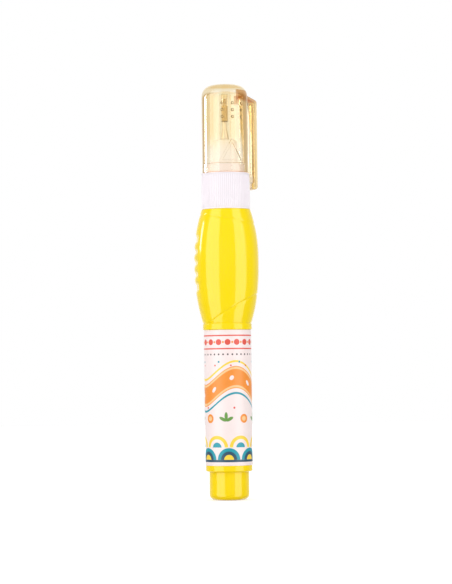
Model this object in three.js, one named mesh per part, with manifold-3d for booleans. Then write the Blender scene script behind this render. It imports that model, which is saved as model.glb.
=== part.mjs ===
// A squeeze-type correction pen, capped and standing on its tail.
// A soft bottle with a squeeze bulb feeds a sprung needle valve in a metal tip. A ribbed collar holds the nozzle on
// the bottle's neck, and a clear cap with a pocket clip seals the tip.
// Millimetres. +Z runs along the pen from tail to cap, and the origin is the centre of the tail's flat foot.
// Azimuths are degrees about Z from the front of the pen (-Y) towards its clip side (+X).

import * as THREE from "three";
import { mergeVertices } from "three/addons/utils/BufferGeometryUtils.js";
import Module from "manifold-3d";

const wasm = await Module();
wasm.setup();

// Facets round the large pieces, the small turned pieces, the ball and the dots.
const ROUND = 40;
const SMALL_ROUND = 24;
const BALL_ROUND = 20;
const DOT_ROUND = 10;
const ARC_STEPS = 4;
const WELD = 1e-4;

// Bottle: tail, ring, label panel and bead.
const tailRadius = 6.7;
const tailHeight = 9.55;
const tailCorner = 1.95;
const ringRadius = 7.87;
const ringHeight = 2.0;
const ringEdge = 0.45;
const panelRadius = 7.85;
const panelHeight = 45.5;
const beadRadius = 8.28;
const beadHeight = 2.35;
const beadGroove = 0.15;
const bottleWall = 0.9;
const bottleFloor = 1.1;

// Bottle: squeeze bulb. Its radius falls away from the belly by a power of the distance along the pen.
const bulbRadius = 10.92;
const bulbHeight = 38.1;
const bulbFootRadius = 8.2;
const bulbTopRadius = 8.3;
const bellyHeight = 21.1;
const lowerFalloff = 2.5;
const upperFalloff = 2.15;
const bulbWall = 1.2;
const bulbRoof = 1.3;
const bulbInnerRows = 7;

// Two creases sweep round the bulb, one rising and one falling towards its right side.
const creaseWidth = 0.7;
const creaseShoulder = 1.5;
const lowerCreaseDepth = 0.3;
const lowerCreaseHeight = 3.9;
const lowerCreaseSwing = 5.6;
const lowerCreaseLowest = 0.8;
const upperCreaseDepth = 0.15;
const upperCreaseDrop = 3.25;
const upperCreaseRise = 1.65;
const footZoneRows = 3;

// Thumb grip: a shallow panel on the left of the bulb, with ridges across it.
const gripAzimuth = -90;
const gripHalfAngle = 30;
const gripEdgeAngle = 9;
const gripHeight = 20.2;
const gripBelowBelly = 1.0;
const gripDepth = 0.5;
const gripEdge = 1.6;
const ridgeCount = 4;
const ridgePitch = 3.83;
const ridgeWidth = 3.1;
const ridgeStations = [-0.5, -0.36, -0.15, 0.15, 0.36];

// Bottle: neck with a bead that the collar snaps over.
const neckRadius = 6.3;
const neckHeight = 9.9;
const neckWall = 1.1;
const snapBead = 0.3;
const snapBeadHeight = 6.2;
const snapBeadWidth = 1.2;

// Label.
const labelThickness = 0.1;
const labelMargin = 0.1;

// Ribbed collar and the spigot that the cap fits over.
const collarFootRadius = 8.25;
const collarTopRadius = 8.14;
const collarHeight = 12.2;
const ribCount = 76;
const ribDepth = 0.17;
const ribRootShare = 0.4;
const ribRing = 0.6;
const spigotRadius = 6.6;
const spigotHeight = 2.9;
const spigotChamfer = 0.35;

// Nozzle holder.
const flangeThickness = 1.2;
const plugLength = 5.4;
const plugWall = 0.8;
const plugChamfer = 0.3;
const stemWall = 0.9;
const webThickness = 0.8;
const bossRadius = 4.5;
const noseTopRadius = 4.0;
const noseHeight = 8.4;
const noseChamfer = 0.5;
const valveBore = 2.6;
const bridgeThickness = 1.2;

// Metal tip.
const shankRadius = 1.9;
const shankLength = 5.3;
const tipFootRadius = 1.6;
const tipNeckRadius = 0.62;
const tipNeckHeight = 4.4;
const tipEndRadius = 0.55;
const tipHeight = 6.7;
const chamberRadius = 0.95;
const chamberHeight = 1.2;
const seatHeight = 0.8;
const needleBore = 0.36;

// Valve pin and the carrier that it is pressed into.
const pinRadius = 0.6;
const needleRadius = 0.28;
const needleProud = 0.45;
const needleNose = 0.12;
const carrierRadius = 2.2;
const carrierHeight = 2.4;
const carrierGrip = 3.6;
const carrierWall = 0.55;
const carrierFloor = 0.8;
const carrierTravel = 0.6;

// Spring, with a closer dead turn at each end, and its retainer.
const wireDiameter = 0.36;
const springRadius = 1.75;
const springTurns = 7;
const deadPitch = 0.85;
const springSteps = 10;
const springSides = 6;
const retainerHeight = 1.2;
const retainerHole = 1.1;
const retainerInset = 0.2;

// Mixing ball.
const ballRadius = 2.5;

// Cap.
const capRadius = 7.75;
const capHeight = 29.85;
const capCorner = 5.0;
const capRoof = 2.15;
const capWall = 1.2;
const capDraft = 0.25;
const capInnerCorner = 2.2;
const mouthHeight = 3.1;
const lipChamfer = 0.25;
const postRadius = 1.05;

// Soft seal on the post inside the cap.
const sealRadius = 1.05;
const sealLength = 5.5;
const sealCover = 0.4;
const sealChamfer = 0.2;
const sealStemRadius = 0.5;
const sealStemLength = 2.3;
const socketDepth = 2.0;

// Snap nubs inside the cap's mouth.
const nubCount = 4;
const nubAzimuth = -72;
const nubWidth = 0.9;
const nubHeight = 1.4;
const nubLift = 0.6;

// Raised dots and a raised triangle on the front of the cap.
const dotColumns = 3;
const dotRows = 3;
const dotAzimuth = 20;
const dotStepAngle = 25.8;
const dotStepHeight = 2.3;
const dotTopDrop = 6.75;
const dotRadius = 0.55;
const dotProud = 0.28;
const triangleAzimuth = 18;
const triangleSide = 8.15;
const triangleFoot = 3.5;
const triangleLine = 0.95;
const triangleProud = 0.22;
const triangleSteps = 8;
const rooting = 0.4;

// Pocket clip, moulded with the cap.
const clipAzimuth = 109;
const clipWidth = 5.0;
const clipThickness = 1.6;
const clipNubDepth = 0.6;
const clipEndDrop = 5.4;
const clipRootDrop = 3.35;
const clipRootDepth = 0.75;
const clipShoulderDrop = 5.25;
const clipUndersideDrop = 6.25;
const clipCorner = 1.1;
const clipInnerCorner = 0.8;
const clipNubHeight = 2.6;
const clipBevel = 0.3;

// Clearances between pieces.
const restGap = 0.05;
const slipFit = 0.1;
const snugFit = 0.02;
const capFit = 0.2;
const nubFit = 0.06;
const clipFit = 0.3;
const sealFit = 0.12;
const valveGap = 0.05;

// Radii and heights along the pen that follow from the sizes above.
const tailTop = tailHeight;
const ringTop = tailTop + ringHeight;
const panelTop = ringTop + panelHeight;
const beadTop = panelTop + beadHeight;
const bellyZ = beadTop + bellyHeight;
const bulbTop = beadTop + bulbHeight;
const neckTop = bulbTop + neckHeight;
const neckBore = neckRadius - neckWall;
const collarSeat = bulbTop + restGap;
const collarTop = collarSeat + collarHeight;
const collarBore = neckRadius + slipFit;
const holderSeat = neckTop + restGap;
const holderFoot = holderSeat - plugLength;
const flangeTop = holderSeat + flangeThickness;
const spigotTop = collarTop + spigotHeight;
const noseTop = spigotTop + noseHeight;
const bridgeTop = noseTop - shankLength - restGap;
const bridgeFoot = bridgeTop - bridgeThickness;
const carrierTop = bridgeFoot - carrierTravel;
const carrierFoot = carrierTop - carrierHeight;
const pinFoot = carrierTop - carrierGrip + restGap;
const tipTop = noseTop + tipHeight;
const retainerSeat = holderFoot + retainerInset;
const retainerTop = retainerSeat + retainerHeight;
const capSeat = collarTop + restGap;
const capMouth = spigotRadius + capFit;
const sealSeat = tipTop - sealCover + sealLength;
const clipNubReach = collarFootRadius + clipFit;
const clipInnerRadius = clipNubReach + clipNubDepth;
const clipOuterRadius = clipInnerRadius + clipThickness;

const radians = (degrees) => (degrees * Math.PI) / 180;
const mix = (a, b, t) => a + (b - a) * t;
const smooth = (t) => THREE.MathUtils.smoothstep(t, 0, 1);

// Shares a geometry's vertices and drops the faces that close up, which leaves a closed surface.
function weld(geometry) {
  geometry.deleteAttribute("normal");
  geometry.deleteAttribute("uv");
  const merged = mergeVertices(geometry, WELD);
  const corners = merged.index.array;
  const kept = [];
  for (let i = 0; i < corners.length; i += 3) {
    const [a, b, c] = [corners[i], corners[i + 1], corners[i + 2]];
    if (a !== b && b !== c && c !== a) kept.push(a, b, c);
  }
  merged.setIndex(kept);
  return merged;
}

// Turns a profile about Z. Its points run up the outside and down the inside, and start and end on the axis or
// close on themselves. A point is [radius, height], or a function that gives them at an azimuth in radians.
function revolve(profile, segments = ROUND) {
  const at = (point, azimuth) => (typeof point === "function" ? point(azimuth) : point);
  const points = profile.map((point) => new THREE.Vector2(...at(point, 0)));
  const geometry = new THREE.LatheGeometry(points, segments);
  geometry.rotateX(Math.PI / 2);
  const position = geometry.attributes.position;
  for (let i = 0; i <= segments; i += 1) {
    const azimuth = ((i % segments) * 2 * Math.PI) / segments;
    profile.forEach((point, j) => {
      const [radius, height] = at(point, azimuth);
      const vertex = i * profile.length + j;
      position.setXYZ(vertex, radius * Math.sin(azimuth), -radius * Math.cos(azimuth), height);
    });
  }
  return weld(geometry);
}

// Profile points on an arc about [radius, height], between two angles in degrees from the outward direction.
function arc([radius, height], size, from, to, steps = ARC_STEPS) {
  return Array.from({ length: steps + 1 }, (_, i) => {
    const angle = radians(mix(from, to, i / steps));
    return [radius + size * Math.cos(angle), height + size * Math.sin(angle)];
  });
}

function solidOf(geometry) {
  return new wasm.Manifold(
    new wasm.Mesh({
      numProp: 3,
      vertProperties: new Float32Array(geometry.attributes.position.array),
      triVerts: new Uint32Array(geometry.index.array),
    }),
  );
}

// Fuses closed geometries that overlap into one.
function fuse(geometries) {
  const made = geometries.map(solidOf).reduce((whole, piece) => whole.add(piece)).getMesh();
  const geometry = new THREE.BufferGeometry();
  geometry.setAttribute("position", new THREE.BufferAttribute(made.vertProperties, made.numProp));
  geometry.setIndex(new THREE.BufferAttribute(made.triVerts, 1));
  return geometry;
}

// Moves a shape that faces +Z onto a wall of the given radius, facing out at an azimuth and a height.
function putOnWall(geometry, radius, azimuth, height) {
  geometry.rotateX(Math.PI / 2);
  geometry.translate(0, -radius, height);
  geometry.rotateZ(radians(azimuth));
  return geometry;
}

const finish = {
  yellow: new THREE.MeshStandardMaterial({ color: 0xfee219, roughness: 0.3 }),
  film: new THREE.MeshStandardMaterial({ color: 0xfff4ee, roughness: 0.4 }),
  white: new THREE.MeshStandardMaterial({ color: 0xfbf8fc, roughness: 0.45 }),
  amber: new THREE.MeshStandardMaterial({ color: 0xe9c77c, roughness: 0.1, transparent: true, opacity: 0.5 }),
  rubber: new THREE.MeshStandardMaterial({ color: 0x8a7350, roughness: 0.8 }),
  natural: new THREE.MeshStandardMaterial({ color: 0xe4e2da, roughness: 0.5 }),
  steel: new THREE.MeshStandardMaterial({ color: 0xb9bcc0, roughness: 0.3, metalness: 1 }),
  nickel: new THREE.MeshStandardMaterial({ color: 0xc9c4b6, roughness: 0.25, metalness: 1 }),
};

// Names a piece and sets it at its height on the pen.
function place(name, geometry, material, height = 0) {
  const mesh = new THREE.Mesh(geometry, material);
  mesh.name = name;
  mesh.position.z = height;
  return mesh;
}

// Squeeze bulb

function bulbRadiusAt(height) {
  const below = height < bellyZ;
  const span = below ? bellyHeight : bulbHeight - bellyHeight;
  const drop = bulbRadius - (below ? bulbFootRadius : bulbTopRadius);
  const share = Math.abs(height - bellyZ) / span;
  return bulbRadius - drop * share ** (below ? lowerFalloff : upperFalloff);
}

function lowerCreaseAt(azimuth) {
  const height = lowerCreaseHeight + lowerCreaseSwing * Math.sin(azimuth);
  return beadTop + Math.max(lowerCreaseLowest, height);
}

function upperCreaseAt(azimuth) {
  return bulbTop - upperCreaseDrop - upperCreaseRise * Math.sin(azimuth);
}

// The angle between an azimuth and the middle of the thumb grip.
function turnFromGrip(azimuth) {
  const turn = Math.abs(azimuth - radians(gripAzimuth)) % (2 * Math.PI);
  return Math.min(turn, 2 * Math.PI - turn);
}

// How far the thumb grip lies below the bulb's own surface.
function gripSinkAt(azimuth, height) {
  const fromCentre = height - (bellyZ - gripBelowBelly);
  const across = smooth((radians(gripHalfAngle) - turnFromGrip(azimuth)) / radians(gripEdgeAngle));
  const along = smooth((gripHeight / 2 - Math.abs(fromCentre)) / gripEdge);
  const nearest = THREE.MathUtils.clamp(
    Math.round(fromCentre / ridgePitch + (ridgeCount - 1) / 2),
    0,
    ridgeCount - 1,
  );
  const offset = (fromCentre / ridgePitch + (ridgeCount - 1) / 2 - nearest) * ridgePitch;
  const ridge = Math.sqrt(Math.max(0, 1 - (offset / (ridgeWidth / 2)) ** 2));
  return gripDepth * across * along * (1 - ridge);
}

// Heights of the rows between the creases, on the grip's side of the bulb.
function middleHeights(lowest, highest) {
  const centre = bellyZ - gripBelowBelly;
  const gripFoot = centre - gripHeight / 2;
  const heights = [lowest, (lowest + gripFoot) / 2, gripFoot, gripFoot + gripEdge];
  for (let i = 0; i < ridgeCount; i += 1)
    for (const station of ridgeStations)
      heights.push(centre + (i - (ridgeCount - 1) / 2 + station) * ridgePitch);
  heights.push(centre + (ridgeCount / 2) * ridgePitch);
  heights.push(centre + gripHeight / 2 - gripEdge, centre + gripHeight / 2, highest);
  return heights;
}

// Profile points up the outside of the bulb. Rows keep level across the grip and lean with the creases elsewhere.
function bulbProfile() {
  const edge = creaseWidth / 2;
  const grip = radians(gripAzimuth);
  const lowest = (azimuth) => lowerCreaseAt(azimuth) + creaseShoulder;
  const highest = (azimuth) => upperCreaseAt(azimuth) - creaseShoulder;
  const row = (heightAt, sink = 0) => (azimuth) => {
    const height = heightAt(azimuth);
    return [bulbRadiusAt(height) - sink - gripSinkAt(azimuth, height), height];
  };
  const foot = Array.from({ length: footZoneRows }, (_, i) =>
    row((azimuth) => mix(beadTop, lowerCreaseAt(azimuth) - edge, i / (footZoneRows - 1))),
  );
  const middle = middleHeights(lowest(grip), highest(grip)).map((level) => {
    const share = (level - lowest(grip)) / (highest(grip) - lowest(grip));
    return row((azimuth) => {
      const leaning = mix(lowest(azimuth), highest(azimuth), share);
      const nearGrip = smooth(2 - turnFromGrip(azimuth) / radians(gripHalfAngle));
      return mix(leaning, level, nearGrip);
    });
  });
  return [
    ...foot,
    row(lowerCreaseAt, lowerCreaseDepth),
    row((azimuth) => lowerCreaseAt(azimuth) + edge, lowerCreaseDepth / 2),
    ...middle,
    row((azimuth) => upperCreaseAt(azimuth) - edge, upperCreaseDepth / 2),
    row(upperCreaseAt, upperCreaseDepth),
    row((azimuth) => upperCreaseAt(azimuth) + edge),
    [bulbTopRadius, bulbTop],
  ];
}

// A bead round the neck, or with a clearance the groove that it snaps into.
function snapProfile(radius, centre, clearance) {
  const half = snapBeadWidth / 2;
  return [
    [radius, centre - half - clearance],
    [radius + snapBead, centre - half / 3 - clearance],
    [radius + snapBead, centre + half / 3 + clearance],
    [radius, centre + half + clearance],
  ];
}

// Bottle: tail, label panel, bulb and neck in one hollow moulding, open at the neck

function makeBottle() {
  const tailBore = tailRadius - bottleWall;
  const innerCorner = tailCorner - bottleWall;
  const bulbCeiling = bulbTop - bulbRoof;
  const bulbInside = Array.from({ length: bulbInnerRows }, (_, i) => {
    const height = mix(bulbCeiling, beadTop, i / (bulbInnerRows - 1));
    return [bulbRadiusAt(height) - bulbWall, height];
  });
  const profile = [
    [0, 0],
    ...arc([tailRadius - tailCorner, tailCorner], tailCorner, -90, 0),
    [tailRadius, tailTop],
    [ringRadius - ringEdge, tailTop],
    [ringRadius, tailTop + ringEdge],
    [ringRadius, ringTop],
    [panelRadius, ringTop],
    [panelRadius, panelTop],
    [beadRadius - beadGroove, panelTop],
    [beadRadius, panelTop + beadHeight / 3],
    [beadRadius, panelTop + (beadHeight * 2) / 3],
    [bulbFootRadius - beadGroove, beadTop - beadGroove],
    ...bulbProfile(),
    [neckRadius, bulbTop],
    ...snapProfile(neckRadius, bulbTop + snapBeadHeight, 0),
    [neckRadius, neckTop],
    [neckBore, neckTop],
    [neckBore, bulbCeiling],
    ...bulbInside,
    [panelRadius - bottleWall, panelTop],
    [panelRadius - bottleWall, ringTop],
    [tailBore, tailTop + bottleWall],
    ...arc([tailBore - innerCorner, bottleFloor + innerCorner], innerCorner, 0, -90, 3),
    [0, bottleFloor],
  ];
  return place("bottle", revolve(profile), finish.yellow);
}

function makeLabel() {
  const inner = panelRadius + snugFit;
  const outer = inner + labelThickness;
  const height = panelHeight - 2 * labelMargin;
  const profile = [[inner, 0], [outer, 0], [outer, height], [inner, height], [inner, 0]];
  return place("label", revolve(profile), finish.film, ringTop + labelMargin);
}

function makeBall() {
  const ball = weld(new THREE.SphereGeometry(ballRadius, BALL_ROUND, BALL_ROUND / 2));
  return place("mixing_ball", ball, finish.steel, bottleFloor + restGap + ballRadius);
}

// Ribbed collar: a snap-on skirt with fine ribs, and a spigot for the cap

// The ribs as one toothed ring, drawn in towards the top as the collar is.
function makeRibs() {
  const root = collarFootRadius - ribDepth;
  const pitch = (2 * Math.PI) / ribCount;
  const outline = [];
  for (let i = 0; i < ribCount; i += 1) {
    const stations = [
      [root, 0],
      [root, ribRootShare],
      [collarFootRadius, ribRootShare + 0.15],
      [collarFootRadius, 0.85],
    ];
    for (const [radius, share] of stations) {
      const angle = (i + share) * pitch;
      outline.push(new THREE.Vector2(radius * Math.cos(angle), radius * Math.sin(angle)));
    }
  }
  const shape = new THREE.Shape(outline);
  const hole = new THREE.Path();
  hole.absarc(0, 0, root - ribRing, 0, 2 * Math.PI, true);
  shape.holes.push(hole);
  const geometry = new THREE.ExtrudeGeometry(shape, {
    depth: collarHeight,
    bevelEnabled: false,
    curveSegments: ROUND / 2,
  });
  const position = geometry.attributes.position;
  for (let i = 0; i < position.count; i += 1) {
    const share = position.getZ(i) / collarHeight;
    const scale = mix(1, collarTopRadius / collarFootRadius, share);
    position.setXY(i, position.getX(i) * scale, position.getY(i) * scale);
  }
  return weld(geometry);
}

function makeCollar() {
  const skin = collarTopRadius - ribDepth - ribRing / 2;
  const hole = bossRadius + slipFit;
  const ledge = flangeTop + restGap - collarSeat;
  const spigotEnd = spigotTop - collarSeat;
  const beadCentre = bulbTop + snapBeadHeight - collarSeat;
  const body = revolve([
    [collarBore, 0],
    [skin, 0],
    [skin, collarHeight],
    [spigotRadius, collarHeight],
    [spigotRadius, spigotEnd - spigotChamfer],
    [spigotRadius - spigotChamfer, spigotEnd],
    [hole, spigotEnd],
    [hole, ledge],
    [collarBore, ledge],
    ...snapProfile(collarBore, beadCentre, slipFit).reverse(),
    [collarBore, 0],
  ]);
  return place("ribbed_collar", fuse([body, makeRibs()]), finish.white, collarSeat);
}

// Nozzle: holder, metal tip, valve pin, carrier, spring and retainer

function makeHolder() {
  const plugRadius = neckBore - slipFit;
  const stemRadius = valveBore + stemWall;
  const skirtBore = plugRadius - plugWall;
  const bossTop = spigotTop - holderSeat;
  const noseEnd = noseTop - holderSeat;
  const tipBore = shankRadius + snugFit;
  const profile = [
    [stemRadius, -plugLength],
    [stemRadius, -webThickness],
    [skirtBore, -webThickness],
    [skirtBore, -plugLength],
    [plugRadius - plugChamfer, -plugLength],
    [plugRadius, plugChamfer - plugLength],
    [plugRadius, 0],
    [neckRadius, 0],
    [neckRadius, flangeThickness],
    [bossRadius, flangeThickness],
    [bossRadius, bossTop],
    [noseTopRadius, noseEnd - noseChamfer],
    [noseTopRadius - noseChamfer, noseEnd],
    [tipBore, noseEnd],
    [tipBore, bridgeTop - holderSeat],
    [chamberRadius, bridgeTop - holderSeat],
    [chamberRadius, bridgeFoot - holderSeat],
    [valveBore, bridgeFoot - holderSeat],
    [valveBore, -plugLength],
    [stemRadius, -plugLength],
  ];
  return place("nozzle_holder", revolve(profile), finish.white, holderSeat);
}

function makeTip() {
  const profile = [
    [chamberRadius, -shankLength],
    [shankRadius, -shankLength],
    [shankRadius, 0],
    [tipFootRadius, 0],
    [tipNeckRadius, tipNeckHeight],
    [tipEndRadius, tipHeight],
    [needleBore, tipHeight],
    [needleBore, chamberHeight + seatHeight],
    [chamberRadius, chamberHeight],
    [chamberRadius, -shankLength],
  ];
  return place("metal_tip", revolve(profile, SMALL_ROUND), finish.nickel, noseTop);
}

// The pin's cone lies along the valve seat in the tip, one valve gap below it.
function makePin() {
  const slope = (chamberRadius - needleBore) / seatHeight;
  const seatFoot = noseTop + chamberHeight - pinFoot;
  const coneFoot = seatFoot + (chamberRadius - pinRadius) / slope - valveGap;
  const coneTop = coneFoot + (pinRadius - needleRadius) / slope;
  const end = tipTop + needleProud - pinFoot;
  const profile = [
    [0, 0],
    [pinRadius, 0],
    [pinRadius, coneFoot],
    [needleRadius, coneTop],
    [needleRadius, end - needleNose],
    [needleRadius / 2, end],
    [0, end],
  ];
  return place("valve_pin", revolve(profile, SMALL_ROUND), finish.steel, pinFoot);
}

function makeCarrier() {
  const hole = pinRadius + snugFit;
  const stubRadius = hole + carrierWall;
  const holeFoot = carrierHeight - carrierGrip;
  const profile = [
    [0, holeFoot - carrierFloor],
    [stubRadius, holeFoot - carrierFloor],
    [stubRadius, 0],
    [carrierRadius, 0],
    [carrierRadius, carrierHeight],
    [hole, carrierHeight],
    [hole, holeFoot],
    [0, holeFoot],
  ];
  return place("pin_carrier", revolve(profile, SMALL_ROUND), finish.natural, carrierFoot);
}

function makeRetainer() {
  const radius = valveBore - snugFit;
  const profile = [
    [retainerHole, 0],
    [radius, 0],
    [radius, retainerHeight],
    [retainerHole, retainerHeight],
    [retainerHole, 0],
  ];
  return place("spring_retainer", revolve(profile, SMALL_ROUND), finish.natural, retainerSeat);
}

// A helix from the retainer to the carrier, whose first and last turns lie closer.
function makeSpring() {
  const length = carrierFoot - retainerTop - 2 * restGap - wireDiameter;
  const livePitch = (length - 2 * deadPitch) / (springTurns - 2);
  const heightAt = (turn) =>
    Math.min(turn, 1) * deadPitch +
    THREE.MathUtils.clamp(turn - 1, 0, springTurns - 2) * livePitch +
    Math.max(turn - springTurns + 1, 0) * deadPitch;
  const centres = Array.from({ length: springTurns * springSteps + 1 }, (_, i) => {
    const angle = (i * 2 * Math.PI) / springSteps;
    const height = heightAt(i / springSteps) + restGap + wireDiameter / 2;
    return new THREE.Vector3(springRadius * Math.cos(angle), springRadius * Math.sin(angle), height);
  });
  const vertices = [];
  for (const centre of centres) {
    const out = new THREE.Vector2(centre.x, centre.y).normalize();
    for (let side = 0; side < springSides; side += 1) {
      const angle = (side * 2 * Math.PI) / springSides;
      const reach = (wireDiameter / 2) * Math.cos(angle);
      const rise = (wireDiameter / 2) * Math.sin(angle);
      vertices.push(centre.x + reach * out.x, centre.y + reach * out.y, centre.z + rise);
    }
  }
  const faces = [];
  for (let i = 0; i + 1 < centres.length; i += 1)
    for (let side = 0; side < springSides; side += 1) {
      const next = (side + 1) % springSides;
      const [a, b] = [i * springSides + side, i * springSides + next];
      faces.push(a, a + springSides, b, b, a + springSides, b + springSides);
    }
  const last = (centres.length - 1) * springSides;
  for (let side = 1; side + 1 < springSides; side += 1)
    faces.push(0, side, side + 1, last, last + side + 1, last + side);
  const geometry = new THREE.BufferGeometry();
  geometry.setAttribute("position", new THREE.Float32BufferAttribute(vertices, 3));
  geometry.setIndex(faces);
  let gap = Infinity;
  centres.forEach((centre, i) => {
    for (let j = i + springSteps / 2; j < centres.length; j += 1)
      gap = Math.min(gap, centre.distanceTo(centres[j]) - wireDiameter);
  });
  console.log(`valve_spring: least gap between turns ${gap.toFixed(2)} mm`);
  return place("valve_spring", geometry, finish.steel, retainerTop);
}

// Cap: clear shell with its post, snap nubs, dots, triangle and pocket clip

function makeCapShell() {
  const ceiling = capHeight - capRoof;
  const inner = capRadius - capWall;
  const innerTop = inner - capDraft;
  const postEnd = sealSeat + restGap - capSeat;
  const holeRadius = sealStemRadius + slipFit / 2;
  return revolve([
    [0, postEnd + sealStemLength + slipFit],
    [holeRadius, postEnd + sealStemLength + slipFit],
    [holeRadius, postEnd],
    [postRadius, postEnd],
    [postRadius, ceiling],
    ...arc([innerTop - capInnerCorner, ceiling - capInnerCorner], capInnerCorner, 90, 0),
    [inner, mouthHeight],
    [capMouth, mouthHeight],
    [capMouth, 0],
    [capRadius - lipChamfer, 0],
    [capRadius, lipChamfer],
    ...arc([capRadius - capCorner, capHeight - capCorner], capCorner, 0, 90, ARC_STEPS + 2),
    [0, capHeight],
  ]);
}

function makeNubs() {
  const depth = capMouth - (spigotRadius + nubFit) + rooting;
  return Array.from({ length: nubCount }, (_, i) => {
    const nub = new THREE.BoxGeometry(nubWidth, nubHeight, depth);
    const radius = capMouth + rooting - depth / 2;
    return weld(putOnWall(nub, radius, nubAzimuth + (i * 360) / nubCount, nubLift + nubHeight / 2));
  });
}

function makeDots() {
  const dots = [];
  for (let column = 0; column < dotColumns; column += 1)
    for (let row = 0; row < dotRows; row += 1) {
      const dot = revolve(
        [
          [0, -rooting],
          [dotRadius, -rooting],
          [dotRadius, dotProud / 3],
          [dotRadius / 2, dotProud * 0.9],
          [0, dotProud],
        ],
        DOT_ROUND,
      );
      const azimuth = dotAzimuth + (column - (dotColumns - 1) / 2) * dotStepAngle;
      dots.push(putOnWall(dot, capRadius, azimuth, capHeight - dotTopDrop - row * dotStepHeight));
    }
  return dots;
}

// Three bars that follow the cap's round wall and meet in a triangle, point up.
function makeTriangle() {
  const inradius = triangleSide / (2 * Math.sqrt(3));
  return Array.from({ length: 3 }, (_, i) => {
    const depth = rooting + triangleProud;
    const bar = new THREE.BoxGeometry(triangleSide + triangleLine, triangleLine, depth, triangleSteps, 1, 1);
    bar.translate(0, -inradius, depth / 2 - rooting);
    bar.rotateZ((i * 2 * Math.PI) / 3);
    const position = bar.attributes.position;
    for (let v = 0; v < position.count; v += 1) {
      const azimuth = radians(triangleAzimuth) + position.getX(v) / capRadius;
      const radius = capRadius + position.getZ(v);
      const height = triangleFoot + inradius + position.getY(v);
      position.setXYZ(v, radius * Math.sin(azimuth), -radius * Math.cos(azimuth), height);
    }
    return weld(bar);
  });
}

// The clip's side outline is drawn in radius and height, and given its width along the cap's wall.
function makeClip() {
  const root = capRadius - clipRootDepth;
  const rootTop = capHeight - clipRootDrop;
  const shoulder = capHeight - clipShoulderDrop;
  const underside = capHeight - clipUndersideDrop;
  const end = -clipEndDrop;
  const nubTop = end + clipNubHeight;
  const outline = new THREE.Shape();
  outline.moveTo(root, underside);
  outline.lineTo(clipInnerRadius - clipInnerCorner, underside);
  outline.quadraticCurveTo(clipInnerRadius, underside, clipInnerRadius, underside - clipInnerCorner);
  outline.lineTo(clipInnerRadius, nubTop + clipInnerCorner);
  outline.quadraticCurveTo(clipInnerRadius, nubTop, clipNubReach, nubTop - clipInnerCorner);
  outline.quadraticCurveTo(clipNubReach, end, clipNubReach + clipInnerCorner, end);
  outline.lineTo(clipOuterRadius - clipCorner, end);
  outline.quadraticCurveTo(clipOuterRadius, end, clipOuterRadius, end + clipCorner);
  outline.lineTo(clipOuterRadius, shoulder - clipCorner);
  const turn = (clipOuterRadius - clipCorner - root) / (clipOuterRadius - root);
  outline.quadraticCurveTo(clipOuterRadius, shoulder, mix(root, clipOuterRadius, turn), mix(rootTop, shoulder, turn));
  outline.lineTo(root, rootTop);
  outline.closePath();
  const strap = new THREE.ExtrudeGeometry(outline, {
    depth: clipWidth - 2 * clipBevel,
    bevelSize: clipBevel,
    bevelOffset: -clipBevel,
    bevelThickness: clipBevel,
    bevelSegments: 2,
    curveSegments: 4,
  });
  strap.translate(0, 0, clipBevel - clipWidth / 2);
  strap.rotateX(Math.PI / 2);
  strap.rotateZ(radians(clipAzimuth - 90));
  return weld(strap);
}

function makeCap() {
  const pieces = [makeCapShell(), makeClip(), ...makeNubs(), ...makeDots(), ...makeTriangle()];
  return place("cap", fuse(pieces), finish.amber, capSeat);
}

function makeSeal() {
  const socket = tipNeckRadius + sealFit;
  const profile = [
    [0, socketDepth - sealLength],
    [socket, socketDepth - sealLength],
    [socket, -sealLength],
    [sealRadius - sealChamfer, -sealLength],
    [sealRadius, sealChamfer - sealLength],
    [sealRadius, 0],
    [sealStemRadius, 0],
    [sealStemRadius, sealStemLength],
    [0, sealStemLength],
  ];
  return place("tip_seal", revolve(profile, SMALL_ROUND), finish.rubber, sealSeat);
}

// The pen: what stays on the bottle, the sprung valve and what comes off with the cap.
const barrel = new THREE.Group();
barrel.add(makeBottle(), makeLabel(), makeBall(), makeCollar(), makeHolder(), makeTip(), makeRetainer());

const valve = new THREE.Group();
valve.add(makePin(), makeCarrier(), makeSpring());

const capping = new THREE.Group();
capping.add(makeCap(), makeSeal());

const pen = new THREE.Group();
pen.add(barrel, valve, capping);

export default pen;
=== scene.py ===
"""A squeeze-type correction pen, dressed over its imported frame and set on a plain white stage.

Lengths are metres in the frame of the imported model. Azimuths go from the front of the pen (-Y) towards +X.
"""

import math

import bmesh
import bpy
from bpy.props import FloatProperty, FloatVectorProperty, IntProperty, PointerProperty
from mathutils import Matrix, Vector


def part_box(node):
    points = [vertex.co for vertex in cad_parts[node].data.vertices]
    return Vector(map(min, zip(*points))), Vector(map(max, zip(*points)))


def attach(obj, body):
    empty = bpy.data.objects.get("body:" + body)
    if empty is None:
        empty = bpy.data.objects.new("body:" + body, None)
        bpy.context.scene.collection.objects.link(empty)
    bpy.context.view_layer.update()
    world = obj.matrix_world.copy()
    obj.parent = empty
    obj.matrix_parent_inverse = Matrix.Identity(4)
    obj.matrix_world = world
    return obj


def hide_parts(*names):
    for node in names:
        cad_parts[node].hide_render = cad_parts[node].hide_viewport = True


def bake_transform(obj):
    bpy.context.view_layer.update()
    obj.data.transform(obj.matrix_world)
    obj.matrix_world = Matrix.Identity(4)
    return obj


bl_info = {
    "name": "Squeeze correction pen",
    "version": (1, 0, 0),
    "blender": (4, 5, 0),
    "location": "3D View > Sidebar > Pen",
    "description": "Builds the pieces, finishes and stage of a squeeze-type correction pen",
    "category": "Object",
}

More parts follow.
